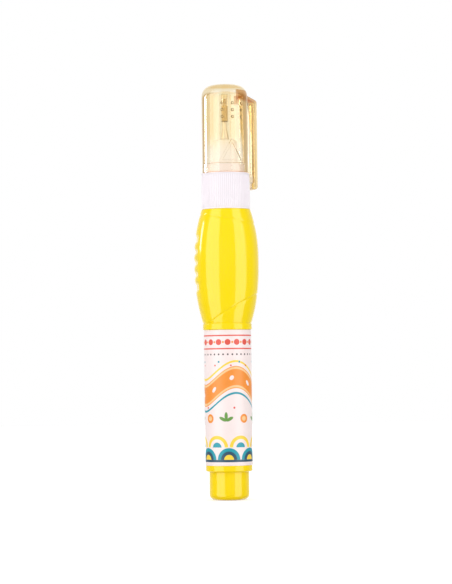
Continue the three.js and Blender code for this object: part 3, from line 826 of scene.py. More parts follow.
# What the bulb's tree takes from its settings, and the rows of its outside and inside
BULB_LENGTHS = (
    "belly_radius foot_radius top_radius height belly_height wall roof lower_depth upper_depth crease_edge "
    "crease_ease lower_crease lower_swing upper_drop upper_rise grip_height grip_lowering grip_depth "
    "grip_edge ridge_pitch ridge_width"
).split()
BULB_NUMBERS = "lower_falloff upper_falloff lower_fade grip_azimuth grip_half grip_fade".split()
BULB_ROWS = 250
BULB_INNER_ROWS = 30


def bulb_tree():
    """The squeeze bulb: a radius that falls away from the belly, two swept creases and a ridged grip."""
    lengths = [(name, "Float") for name in [*BULB_LENGTHS, *BULB_NUMBERS, "foot", "bore"]]
    counts = [(name, "Int") for name in ("ridge_count", "segments", "rows", "inner_rows")]
    tree, g, size = new_tree("squeeze bulb", [*lengths, *counts, ("material", "Material")])
    rows, inner_rows = size["rows"], size["inner_rows"]

    # Rows go up the outside (rows + 1), over the shoulder (2), down inside (inner_rows + 1), to the foot (1)
    total = rows + inner_rows + 5.0
    grid = g.add(
        "GeometryNodeMeshGrid",
        None,
        {"Size X": 1.0, "Size Y": 1.0, "Vertices X": size["segments"] + 1.0, "Vertices Y": total},
    )
    across, along = g.parts(g.add("GeometryNodeInputPosition"))[:2]
    azimuth = (across + 0.5) * (2 * math.pi)
    row = ((along + 0.5) * (total - 1.0)).math("ROUND")

    step_in = row - rows - 3.0
    inside = (step_in > -0.5) * (step_in < inner_rows + 0.5)
    shoulder = (row > rows + 0.5) * (row < rows + 2.5)
    outside = 1.0 - inside - shoulder
    shut = row < rows + inner_rows + 3.5
    top = size["foot"] + size["height"]
    ceiling = top - size["roof"]
    level_out = size["foot"] + size["height"] * (row / rows) * shut
    level_over = top - size["roof"] * (row > rows + 1.5)
    level_in = ceiling + (size["foot"] - ceiling) * (step_in / inner_rows)
    level = level_out * outside + level_over * shoulder + level_in * inside

    belly = size["foot"] + size["belly_height"]
    below = level < belly
    above = 1.0 - below
    span = size["belly_height"] * below + (size["height"] - size["belly_height"]) * above
    drop = size["belly_radius"] - (size["foot_radius"] * below + size["top_radius"] * above)
    falloff = size["lower_falloff"] * below + size["upper_falloff"] * above
    radius = size["belly_radius"] - drop * (abs(level - belly) / span) ** falloff

    def crease(distance):
        steep = (1.0 + distance / size["crease_edge"]).smooth()
        return steep * (EXPONENTIAL ** (-distance.math("MAXIMUM", 0.0) / size["crease_ease"]))

    sweep = azimuth.math("SINE")
    lower = size["foot"] + size["lower_crease"] + size["lower_swing"] * sweep
    upper = top - size["upper_drop"] - size["upper_rise"] * sweep
    lower_depth = size["lower_depth"] * (1.0 - size["lower_fade"] * (1.0 - sweep))
    sink = lower_depth * crease(lower - level) + size["upper_depth"] * crease(upper - level)

    centred = level - (belly - size["grip_lowering"])
    turn = abs(azimuth - size["grip_azimuth"])
    side = ((size["grip_half"] - turn) / size["grip_fade"]).smooth()
    end = ((size["grip_height"] / 2.0 - abs(centred)) / size["grip_edge"]).smooth()
    station = centred / size["ridge_pitch"] + (size["ridge_count"] - 1.0) / 2.0
    nearest = station.math("ROUND").math("MAXIMUM", 0.0).math("MINIMUM", size["ridge_count"] - 1.0)
    offset = (station - nearest) * size["ridge_pitch"] / (size["ridge_width"] / 2.0)
    ridge_power = 0.8
    ridge = (1.0 - offset * offset).math("MAXIMUM", 0.0) ** ridge_power
    grip = size["grip_depth"] * side * end * (1.0 - ridge)

    reach = (radius - sink - grip) * outside + size["bore"] * shoulder + (radius - size["wall"]) * inside
    spot = g.add(
        "ShaderNodeCombineXYZ",
        None,
        {0: reach * sweep, 1: -(reach * azimuth.math("COSINE")), 2: level},
    )
    shell = g.add("GeometryNodeSetPosition", None, {"Geometry": grid, "Position": spot})
    shell = g.add("GeometryNodeMergeByDistance", None, {"Geometry": shell, "Distance": MERGED})
    finish_tree(g, shell, size["material"])
    return tree


def rib_tree():
    """Ribs round the collar: one rounded, tapered rib, repeated about the pen's axis."""
    lengths = [(name, "Float") for name in ("root", "embed", "depth", "width", "foot", "height", "taper")]
    tree, g, size = new_tree("collar ribs", [*lengths, ("ribs", "Int"), ("material", "Material")])
    block = g.add(
        "GeometryNodeMeshCube",
        None,
        {"Size": (1.0, 1.0, 1.0), "Vertices X": 7, "Vertices Y": 2, "Vertices Z": 9},
    )
    x, y, z = g.parts(g.add("GeometryNodeInputPosition"))
    out, up = 0.5 - y, z + 0.5
    crown_power, end_steepness, end_share = 3.0, 40.0, 0.15
    crown = (1.0 - (abs(x) * 2.0) ** crown_power).math("MAXIMUM", 0.0) ** 0.5
    ends = ((0.5 - abs(z)) * end_steepness).smooth() * (1.0 - end_share) + end_share
    thickness = size["embed"] + size["depth"] * crown * ends
    reach = size["root"] - size["taper"] * up - size["embed"] + out * thickness
    spot = g.add(
        "ShaderNodeCombineXYZ", None, {0: x * size["width"], 1: -reach, 2: size["foot"] + up * size["height"]}
    )
    rib = g.add("GeometryNodeSetPosition", None, {"Geometry": block, "Position": spot})
    marks = g.add("GeometryNodeMeshLine", None, {"Count": size["ribs"], "Offset": (0.0, 0.0, 0.0)})
    turn = g.add("GeometryNodeInputIndex") * (2 * math.pi) / size["ribs"]
    rotation = g.add("ShaderNodeCombineXYZ", None, {2: turn})
    ring = g.add(
        "GeometryNodeInstanceOnPoints", None, {"Points": marks, "Instance": rib, "Rotation": rotation}
    )
    finish_tree(g, ring, size["material"])
    return tree


# Pieces


def remembered(key, make):
    """A finish that several pieces share, made once."""
    material = bpy.data.materials.get(key)
    return material if material else make()


def yellow(finishes):
    return remembered("yellow polyethylene", lambda: yellow_plastic(finishes))


def natural(finishes):
    return remembered("natural acetal", lambda: natural_plastic(finishes))


class PEN_OT_bottle(bpy.types.Operator):
    """Makes the bottle's tail, ring, label panel, bead and neck."""

    bl_idname = "pen.bottle"
    bl_label = "Bottle"

    def body(self, s, bulb, low, material):
        """The bottle up to the bulb, open at its top; gives that height."""
        tail_top = low.z + s.tail_height
        ring_top = tail_top + s.ring_height
        panel_top = ring_top + s.panel_height
        bead_top = panel_top + s.bead_height
        floor = low.z + s.floor
        groove, slope = 0.15 * MM, 0.05 * MM
        bore, panel_bore = s.tail_radius - s.wall, s.panel_radius - s.wall
        profile = [
            (0, low.z, 0),
            (s.tail_radius, low.z, s.tail_corner),
            (s.tail_radius, tail_top, 0.25 * MM),
            (s.ring_radius, tail_top, 0.5 * MM),
            (s.ring_radius, ring_top - slope, 0.12 * MM),
            (s.panel_radius, ring_top, 0),
            (s.panel_radius, panel_top, 0.05 * MM),
            (s.bead_radius, panel_top + 0.02 * MM, 0.42 * MM),
            (s.bead_radius, bead_top - 0.5 * MM, 0.55 * MM),
            (bulb.foot_radius - groove, bead_top - groove, 0.1 * MM),
            (bulb.foot_radius, bead_top, 0),
            (bulb.foot_radius - bulb.wall, bead_top, 0),
            (panel_bore, panel_top, 0),
            (panel_bore, ring_top, 0),
            (bore, tail_top + s.wall, 0.3 * MM),
            (bore, floor, s.tail_corner - s.wall),
            (0, floor, 0),
        ]
        body = turned_piece("bottle_body", profile, material, closed=False, steps=10)
        stand_for(body, "bottle", "barrel")
        return bead_top

    def neck(self, s, bulb_top, roof, high, material):
        """The neck inside the collar, with the bead that the collar snaps over."""
        foot = bulb_top - roof + 0.2 * MM
        inner = s.neck_radius - s.neck_wall
        snap, bead = bulb_top + 6.2 * MM, s.neck_radius + 0.3 * MM
        flat, slope, soft = 0.2 * MM, 0.6 * MM, 0.2 * MM
        profile = [
            (s.neck_radius, foot, 0),
            (s.neck_radius, snap - slope, soft),
            (bead, snap - flat, soft),
            (bead, snap + flat, soft),
            (s.neck_radius, snap + slope, soft),
            (s.neck_radius, high.z, 0.15 * MM),
            (inner, high.z, 0.15 * MM),
            (inner, foot, 0),
        ]
        stand_for(turned_piece("bottle_neck", profile, material), "bottle", "barrel")

    def execute(self, context):
        s, bulb = context.scene.pen_bottle, context.scene.pen_bulb
        material = yellow(context.scene.pen_finishes)
        low, high = box_of("bottle")
        bead_top = self.body(s, bulb, low, material)
        self.neck(s, bead_top + bulb.height, bulb.roof, high, material)
        return {"FINISHED"}


class PEN_OT_squeeze_bulb(bpy.types.Operator):
    """Grows the ridged squeeze bulb with Geometry Nodes."""

    bl_idname = "pen.squeeze_bulb"
    bl_label = "Squeeze bulb"

    def execute(self, context):
        s, bottle = context.scene.pen_bulb, context.scene.pen_bottle
        values = {name: getattr(s, name) for name in [*BULB_LENGTHS, *BULB_NUMBERS, "ridge_count"]}
        values["foot"] = box_of("bottle")[1].z - bottle.neck_height - s.height
        values["bore"] = bottle.neck_radius - bottle.neck_wall
        values["segments"], values["rows"], values["inner_rows"] = FINE_ROUND, BULB_ROWS, BULB_INNER_ROWS
        values["material"] = yellow(context.scene.pen_finishes)
        bulb = grown("squeeze_bulb", bulb_tree(), values, crease_angle=50)
        stand_for(bulb, "bottle", "barrel")
        return {"FINISHED"}


class PEN_OT_label(bpy.types.Operator):
    """Wraps the printed film round the label panel."""

    bl_idname = "pen.label"
    bl_label = "Label"

    def execute(self, context):
        low, high = box_of("label")
        outer, thickness, edge = high.x, 0.1 * MM, 0.04 * MM
        inner = outer - thickness
        material = label_film(context.scene.pen_finishes, outer, low.z, high.z - low.z)
        profile = [(inner, low.z, 0), (outer, low.z, edge), (outer, high.z, edge), (inner, high.z, 0)]
        stand_for(turned_piece("label_wrap", profile, material), "label", "barrel")
        return {"FINISHED"}


class PEN_OT_collar(bpy.types.Operator):
    """Makes the collar and grows its ribs with Geometry Nodes."""

    bl_idname = "pen.collar"
    bl_label = "Ribbed collar"

    def body(self, s, bore, low, high, material):
        """The collar's skirt and spigot, with the groove that snaps over the neck's bead."""
        top = low.z + s.height
        ledge, snap = box_of("bottle")[1].z + 1.3 * MM, low.z + 6.15 * MM
        flat, slope, groove = 0.3 * MM, 0.7 * MM, bore + 0.3 * MM
        hole = 4.6 * MM
        sunk = 0.02 * MM
        foot_band, top_band = s.foot_radius - sunk, s.top_radius - sunk
        foot_skin, top_skin = s.foot_radius - s.rib_depth, s.top_radius - s.rib_depth
        soft, fine = 0.2 * MM, 0.1 * MM
        profile = [
            (bore, low.z, soft),
            (foot_band, low.z, 0.18 * MM),
            (foot_band, low.z + 0.45 * MM, fine),
            (foot_skin, low.z + 0.5 * MM, fine),
            (top_skin, top - 0.35 * MM, fine),
            (top_band, top - 0.3 * MM, fine),
            (top_band, top, soft),
            (s.spigot_radius, top, fine),
            (s.spigot_radius, high.z, 0.35 * MM),
            (hole, high.z, soft),
            (hole, ledge, 0),
            (bore, ledge, soft),
            (bore, snap + slope, fine),
            (groove, snap + flat, fine),
            (groove, snap - flat, fine),
            (bore, snap - slope, fine),
        ]
        body = turned_piece("collar_body", profile, material, FINE_ROUND, steps=4)
        stand_for(body, "ribbed_collar", "barrel")

    def execute(self, context):
        s, bottle = context.scene.pen_collar, context.scene.pen_bottle
        low, high = box_of("ribbed_collar")
        taper = s.foot_radius - s.top_radius
        # The grooves between the collar's ribs get painted shade
        grooves = (low.z, s.foot_radius, taper / s.height)
        material = white_plastic("white polypropylene", context.scene.pen_finishes.collar, grooves)
        neck_fit = 0.1 * MM
        self.body(s, bottle.neck_radius + neck_fit, low, high, material)
        values = {
            "root": s.foot_radius - s.rib_depth,
            "embed": 0.15 * MM,
            "depth": s.rib_depth,
            "width": 2 * math.pi * s.foot_radius / s.rib_count * s.rib_share,
            "foot": low.z + 0.3 * MM,
            "height": s.height - 0.5 * MM,
            "taper": taper,
            "ribs": s.rib_count,
            "material": material,
        }
        ribs = grown("collar_ribs", rib_tree(), values, crease_angle=60)
        stand_for(ribs, "ribbed_collar", "barrel")
        return {"FINISHED"}


class PEN_OT_nozzle(bpy.types.Operator):
    """Makes the nozzle holder, the metal tip and the spring's retainer."""

    bl_idname = "pen.nozzle"
    bl_label = "Nozzle"

    def holder(self, finishes):
        """The white cone on its flange, with the plug below it and the valve's chamber inside."""
        low, high = box_of("nozzle_holder")
        seat = low.z + 5.4 * MM
        groove_top, flange_top = seat - 0.8 * MM, seat + 1.2 * MM
        bridge_top = box_of("metal_tip")[0].z - 0.05 * MM
        bridge_foot = bridge_top - 1.2 * MM
        spigot_top = box_of("ribbed_collar")[1].z
        chamber, tube, groove, plug = 2.6 * MM, 3.5 * MM, 4.3 * MM, 5.1 * MM
        flange, cone, cone_top, nose = 6.3 * MM, 4.5 * MM, 4.0 * MM, 3.5 * MM
        tip_bore, pin_bore = 1.92 * MM, 0.95 * MM
        soft, fine = 0.15 * MM, 0.08 * MM
        profile = [
            (tube, low.z, soft),
            (tube, groove_top, soft),
            (groove, groove_top, soft),
            (groove, low.z, fine),
            (plug, low.z, 0.4 * MM),
            (plug, seat, fine),
            (flange, seat, fine),
            (flange, flange_top, 0.2 * MM),
            (cone, flange_top, fine),
            (cone, spigot_top, 0.6 * MM),
            (cone_top, high.z - 0.5 * MM, 0.3 * MM),
            (nose, high.z, 0.3 * MM),
            (tip_bore, high.z, fine),
            (tip_bore, bridge_top, 0),
            (pin_bore, bridge_top, 0),
            (pin_bore, bridge_foot, 0),
            (chamber, bridge_foot, 0),
            (chamber, low.z, fine),
        ]
        # The nozzle's whiter white is painted light, making up for the amber light through the cap
        plain = white_plastic("plain white polypropylene", finishes.nozzle)
        stand_for(turned_piece("nozzle_cone", profile, plain), "nozzle_holder", "barrel")

    def tip(self, finishes):
        """The turned metal tip, with the valve's seat and the needle's bore."""
        low, high = box_of("metal_tip")
        shank_top = low.z + 5.3 * MM
        shank, bore, needle_bore, mouth = 1.9 * MM, 0.95 * MM, 0.36 * MM, 0.55 * MM

        # Corners of the nose in millimetres: radius, height over the shank and rounding
        nose = ((1.6, 0.02, 0.1), (1.5, 0.55, 0.1), (1.34, 0.62, 0.05), (1.3, 1.0, 0.1), (0.62, 4.4, 0.6))
        profile = [
            (bore, low.z, 0),
            (shank, low.z, 0.1 * MM),
            (shank, shank_top, 0.05 * MM),
            *[(radius * MM, shank_top + rise * MM, size * MM) for radius, rise, size in nose],
            (mouth, high.z, 0.12 * MM),
            (needle_bore, high.z, 0.04 * MM),
            (needle_bore, shank_top + 2.0 * MM, 0),
            (bore, shank_top + 1.2 * MM, 0),
        ]
        grain = (300.0, 300.0, 9000.0)
        nickel = drawn_metal("plated tip metal", finishes.nickel, grain, roughness=0.42)
        tip = turned_piece("metal_tip_turned", profile, nickel, SMALL_ROUND)
        stand_for(tip, "metal_tip", "barrel")

    def retainer(self, finishes):
        """The ring that holds the valve in."""
        low, high = box_of("spring_retainer")
        bore, fine = 1.1 * MM, 0.08 * MM
        places = ((bore, low.z), (high.x, low.z), (high.x, high.z), (bore, high.z))
        profile = [(radius, height, fine) for radius, height in places]
        ring = turned_piece("retainer_ring", profile, natural(finishes), SMALL_ROUND)
        stand_for(ring, "spring_retainer", "barrel")

    def execute(self, context):
        finishes = context.scene.pen_finishes
        self.holder(finishes)
        self.tip(finishes)
        self.retainer(finishes)
        return {"FINISHED"}


class PEN_OT_valve(bpy.types.Operator):
    """Makes the valve pin, its carrier and the spring."""

    bl_idname = "pen.valve"
    bl_label = "Valve"

    def pin(self, finishes):
        """The stepped pin, whose cone seats in the tip and whose needle stands proud of it."""
        low, high = box_of("valve_pin")
        needle_length, proud, cone = 4.7 * MM, 0.45 * MM, 0.44 * MM
        shank, needle, point = 0.6 * MM, 0.28 * MM, 0.12 * MM
        seat = high.z - proud - needle_length
        profile = [
            (0, low.z, 0),
            (shank, low.z, 0.1 * MM),
            (shank, seat - cone, 0.03 * MM),
            (needle, seat - 0.01 * MM, 0.05 * MM),
            (needle, high.z - 0.14 * MM, 0.08 * MM),
            (point, high.z, 0.04 * MM),
            (0, high.z, 0),
        ]
        grain = (5000.0, 5000.0, 400.0)
        steel = drawn_metal("bright steel", finishes.steel, grain, roughness=0.18)
        pin = turned_piece("needle_pin", profile, steel, TINY_ROUND, closed=False)
        stand_for(pin, "valve_pin", "valve")

    def carrier(self, finishes):
        """The moulding that the pin is pressed into and that the spring pushes on."""
        low, high = box_of("pin_carrier")
        stem, flange, socket = 1.17 * MM, 2.2 * MM, 0.62 * MM
        seat, socket_end = high.z - 2.4 * MM, high.z - 3.6 * MM
        profile = [
            (0, low.z, 0),
            (stem, low.z, 0.2 * MM),
            (stem, seat, 0.1 * MM),
            (flange, seat, 0.12 * MM),
            (flange, high.z, 0.15 * MM),
            (socket, high.z, 0.06 * MM),
            (socket, socket_end, 0),
            (0, socket_end, 0),
        ]
        carrier = turned_piece("carrier_moulding", profile, natural(finishes), SMALL_ROUND, closed=False)
        stand_for(carrier, "pin_carrier", "valve")

    def spring(self, s, finishes):
        """A helix of wire with closer turns and closed ends."""
        low, high = box_of("valve_spring")
        half, radius = s.wire / 2, high.x - s.wire / 2
        live_pitch = (high.z - low.z - s.wire - 2 * s.dead_pitch) / (s.turns - 2)
        rows = []
        for i in range(s.turns * SPRING_STEPS + 1):
            turn = i / SPRING_STEPS
            live = min(max(turn - 1, 0), s.turns - 2)
            height = low.z + half + (turn - live) * s.dead_pitch + live * live_pitch
            azimuth = 2 * math.pi * turn
            row = []
            for side in range(SPRING_SIDES):
                around = 2 * math.pi * side / SPRING_SIDES
                reach, level = radius + half * math.cos(around), height + half * math.sin(around)
                row.append(Vector((reach * math.cos(azimuth), reach * math.sin(azimuth), level)))
            rows.append(row)
        first, last = ([sum(row, Vector()) / len(row)] for row in (rows[0], rows[-1]))
        grain = (900.0, 900.0, 3000.0)
        wire = drawn_metal("spring wire", finishes.steel, grain, roughness=0.2)
        spring = piece_from("spring_coil", skin([first, *rows, last], closed=False), wire, crease_angle=60)
        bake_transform(spring)
        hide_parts("valve_spring")

    def execute(self, context):
        finishes = context.scene.pen_finishes
        self.pin(finishes)
        self.carrier(finishes)
        self.spring(context.scene.pen_spring, finishes)
        return {"FINISHED"}


class PEN_OT_ball(bpy.types.Operator):
    """Makes the loose mixing ball."""

    bl_idname = "pen.ball"
    bl_label = "Mixing ball"

    def execute(self, context):
        low, high = box_of("mixing_ball")
        centre, radius, steps = (low.z + high.z) / 2, (high.z - low.z) / 2, TINY_ROUND // 2
        turns = [math.pi * (i / steps - 0.5) for i in range(1, steps)]
        profile = [(radius * math.cos(turn), centre + radius * math.sin(turn)) for turn in turns]
        rows = turned([(0, low.z), *profile, (0, high.z)], TINY_ROUND)
        grain = (700.0, 900.0, 800.0)
        steel = drawn_metal("ball steel", context.scene.pen_finishes.steel, grain, roughness=0.1)
        ball = piece_from("steel_ball", skin(rows, closed=False), steel, crease_angle=80)
        stand_for(ball, "mixing_ball", "ball")
        return {"FINISHED"}


class PEN_OT_cap(bpy.types.Operator):
    """Makes the clear cap, with its post, nubs, raised dots, triangle and pocket clip, as one closed body."""

    bl_idname = "pen.cap"
    bl_label = "Cap"

    # Depth to which the marks and the nubs reach into the wall
    rooting = 0.4 * MM

    def shell(self, s, seat, mouth, post_end):
        """The wall and roof, and the post with the hole for the seal's plug."""
        inner = s.radius - s.wall
        inner_top, ceiling = inner - s.draft, s.height - s.roof
        post, hole, hole_depth, step_slope = 1.05 * MM, 0.55 * MM, 2.4 * MM, 0.1 * MM
        hole_end = post_end + hole_depth
        corners = [
            (0, hole_end, 0),
            (hole, hole_end, 0),
            (hole, post_end, 0.05 * MM),
            (post, post_end, 0.12 * MM),
            (post, ceiling, 0.3 * MM),
            (inner_top, ceiling, s.inner_corner),
            (inner, s.mouth_height, 0),
            (mouth, s.mouth_height - step_slope, 0.08 * MM),
            (mouth, 0, 0.1 * MM),
            (s.radius, 0, 0.25 * MM),
            (s.radius, s.height, s.corner),
            (0, s.height, 0),
        ]
        profile = [(point.x, point.y + seat) for point in rounded(corners, steps=22, closed=False)]
        return skin(turned(profile, segments=224), closed=False)

    def dots(self, s, seat):
        """Nine raised dots with flattened tops, in three columns."""
        crown, crown_edge = s.dot_radius - 0.26 * MM, 0.04 * MM
        shoulder, crown_drop = 0.02 * MM, 0.03 * MM
        profile = [
            (0, -self.rooting),
            (s.dot_radius, -self.rooting),
            (s.dot_radius, shoulder),
            (crown + crown_edge, s.dot_proud - crown_drop),
            (crown, s.dot_proud),
            (0, s.dot_proud),
        ]
        made = []
        for column in (-1, 0, 1):
            azimuth = s.dot_azimuth + column * s.dot_step
            for row in range(3):
                height = seat + s.height - s.dot_drop - row * s.dot_pitch
                placed = on_wall(turned(profile, segments=28), s.radius, azimuth, height)
                made.append(skin(placed, closed=False))
        return made

    def outline(self, inradius, offset):
        """A triangle set out by an offset, with rounded corners."""
        corner_steps, side_steps = 6, 14
        rounding = max(0.05 * MM, 0.25 * MM + offset * 0.5)
        reach = (inradius + offset) * 2
        turns = [math.radians(degrees) for degrees in (90, 210, 330)]
        corners = [Vector((reach * math.cos(turn), reach * math.sin(turn))) for turn in turns]

        def tangent(corner, other):
            return corner + (other - corner).normalized() * rounding * math.sqrt(3)

        points = []
        for i, here in enumerate(corners):
            ahead = corners[(i + 1) % 3]
            start, end = tangent(here, corners[i - 1]), tangent(here, ahead)
            for step in range(corner_steps):
                t = step / corner_steps
                points.append(start * (1 - t) ** 2 + here * (2 * t * (1 - t)) + end * t**2)
            for step in range(side_steps):
                points.append(end.lerp(tangent(ahead, here), step / side_steps))
        return points

    def triangle(self, s, seat):
        """The raised line of the triangle, with bevelled edges, bent round the wall."""
        inradius, half, bevel = s.triangle_side / (2 * math.sqrt(3)), s.triangle_line / 2, 0.13 * MM
        rings = [
            (half, -self.rooting),
            (half, s.triangle_proud - bevel),
            (half - bevel, s.triangle_proud),
            (bevel - half, s.triangle_proud),
            (-half, s.triangle_proud - bevel),
            (-half, -self.rooting),
        ]
        rows = []
        for offset, depth in rings:
            radius = s.radius + depth
            row = []
            for point in self.outline(inradius, offset):
                turn = s.triangle_azimuth + point.x / s.radius
                height = seat + s.triangle_foot + inradius + point.y
                row.append(Vector((radius * math.sin(turn), -radius * math.cos(turn), height)))
            rows.append(row)
        return skin(rows, closed=True)

    def nubs(self, mouth, seat):
        """Four nubs inside the mouth, which hold on the collar's spigot."""
        nub_count, first_azimuth, nub_radius, rise = 4, -72, 6.66 * MM, 1.3 * MM
        half_width, half_height = 0.45 * MM, 0.7 * MM
        depth = mouth + self.rooting - nub_radius

        # Sections from the tip to the root: share of the depth, and share of the full width and height
        sections = ((-0.5, 0.6), (-0.4, 0.9), (-0.2, 1.0), (0.5, 1.0))
        rows = []
        for share, size in sections:
            wide, high = half_width * size, half_height * size
            spots = [(-wide, -high), (wide, -high), (wide, high), (-wide, high)]
            rows.append([Vector((across, along, share * depth)) for across, along in spots])
        rows = [[rows[0][0].lerp(rows[0][2], 0.5)], *rows, [rows[-1][0].lerp(rows[-1][2], 0.5)]]
        made = []
        for i in range(nub_count):
            azimuth = math.radians(first_azimuth + 360 // nub_count * i)
            placed = on_wall(rows, mouth + self.rooting - depth / 2, azimuth, seat + rise)
            made.append(skin(placed, closed=False))
        return made

    def clip(self, s, seat):
        """The pocket clip: an arm that springs from below the cap's top and ends in a nub over the collar."""
        sunk, clearance, nub_depth, nub_height = 0.75 * MM, 0.3 * MM, 0.6 * MM, 2.6 * MM
        root = s.radius - sunk
        nub = box_of("ribbed_collar")[1].x + clearance
        inner = nub + nub_depth
        outer = inner + s.clip_thickness
        top, shoulder = s.height - 3.35 * MM, s.height - 5.25 * MM
        underside, end = s.height - 6.25 * MM, -s.clip_drop
        nub_top = end + nub_height
        corner, inner_corner = 1.1 * MM, 0.8 * MM
        outline = rounded(
            [
                (root, underside, 0),
                (inner, underside, inner_corner),
                (inner, nub_top, inner_corner),
                (nub, nub_top - inner_corner * 0.9, 0.5 * MM),
                (nub, end, inner_corner),
                (outer, end, corner),
                (outer, shoulder, corner),
                (root, top, 0),
            ],
            steps=8,
        )
        middle = sum(outline, Vector((0, 0))) / len(outline)

        # Across the clip, its long edges are rounded by a quarter turn on each side
        bevel, half, steps = 0.3 * MM, s.clip_width / 2, 4
        edge = []
        for i in range(steps + 1):
            turn = math.pi / 2 * i / steps
            edge.append((bevel * (1 - math.sin(turn)), bevel * (1 - math.cos(turn)) - half))
        edge += [(inset, -across) for inset, across in edge[::-1]]
        rows = [[Vector((middle.x, -half, middle.y))]]
        for inset, across in edge:
            row = []
            for i, here in enumerate(outline):
                along = (outline[(i + 1) % len(outline)] - outline[i - 1]).normalized()
                spot = here - Vector((along.y, -along.x)) * inset
                row.append(Vector((spot.x, across, spot.y)))
            rows.append(row)
        rows.append([Vector((middle.x, half, middle.y))])
        turn = Matrix.Rotation(s.clip_azimuth - math.pi / 2, 4, "Z") @ Matrix.Translation((0, 0, seat))
        return skin([[turn @ point for point in row] for row in rows], closed=False)

    def execute(self, context):
        s = context.scene.pen_cap
        spigot_fit, plug_length, plug_gap, root_drop = 0.2 * MM, 2.3 * MM, 0.05 * MM, 6.3 * MM
        top = box_of("cap")[1].z
        seat = top - s.height
        mouth = context.scene.pen_collar.spigot_radius + spigot_fit
        post_end = box_of("tip_seal")[1].z - plug_length + plug_gap - seat
        amber = amber_plastic(context.scene.pen_finishes, s.radius, seat, s.mouth_height, top - root_drop)
        cap = piece_from("clear_cap", self.shell(s, seat, mouth, post_end), amber)
        extras = [*self.dots(s, seat), self.triangle(s, seat), *self.nubs(mouth, seat), self.clip(s, seat)]
        added = piece_from("cap_additions", extras, amber)
        join = cap.modifiers.new("join", "BOOLEAN")
        join.operation, join.solver, join.object = "UNION", "MANIFOLD", added
        evaluated = cap.evaluated_get(bpy.context.evaluated_depsgraph_get())
        joined = bpy.data.meshes.new_from_object(evaluated)
        cap.modifiers.remove(join)
        cap.data = joined
        bpy.data.objects.remove(added)
        joined.shade_smooth()
        joined.set_sharp_from_angle(angle=math.radians(SHARP))
        stand_for(cap, "cap", "capping")
        return {"FINISHED"}


class PEN_OT_seal(bpy.types.Operator):
    """Makes the soft seal on the cap's post."""

    bl_idname = "pen.seal"
    bl_label = "Tip seal"

    def execute(self, context):
        low, high = box_of("tip_seal")
        socket, body, plug = 0.74 * MM, 1.05 * MM, 0.5 * MM
        socket_end, body_top = low.z + 2.0 * MM, low.z + 5.5 * MM
        profile = [
            (0, socket_end, 0),
            (socket, socket_end, 0.1 * MM),
            (socket, low.z, 0.08 * MM),
            (body, low.z, 0.2 * MM),
            (body, body_top, 0.1 * MM),
            (plug, body_top, 0.05 * MM),
            (plug, high.z, 0.1 * MM),
            (0, high.z, 0),
        ]
        material = seal_rubber(context.scene.pen_finishes, low.z)
        seal = turned_piece("tip_plug", profile, material, SMALL_ROUND, closed=False)
        stand_for(seal, "tip_seal", "capping")
        return {"FINISHED"}


# Stage


def lamp(name, azimuth, distance, height, width, tall, level):
    """A rectangular light that faces the pen."""
    data = bpy.data.lights.new(name, "AREA")
    data.shape, data.size, data.size_y = "RECTANGLE", width, tall
    data.energy = level * math.pi * width * tall
    light = bpy.data.objects.new(name, data)
    turn = math.radians(azimuth)
    light.location = (distance * math.sin(turn), -distance * math.cos(turn), height)
    facing = Vector((0, 0, height)) - light.location
    light.rotation_euler = facing.to_track_quat("-Z", "Y").to_euler()
    light.visible_camera = False
    bpy.context.scene.collection.objects.link(light)
    return light


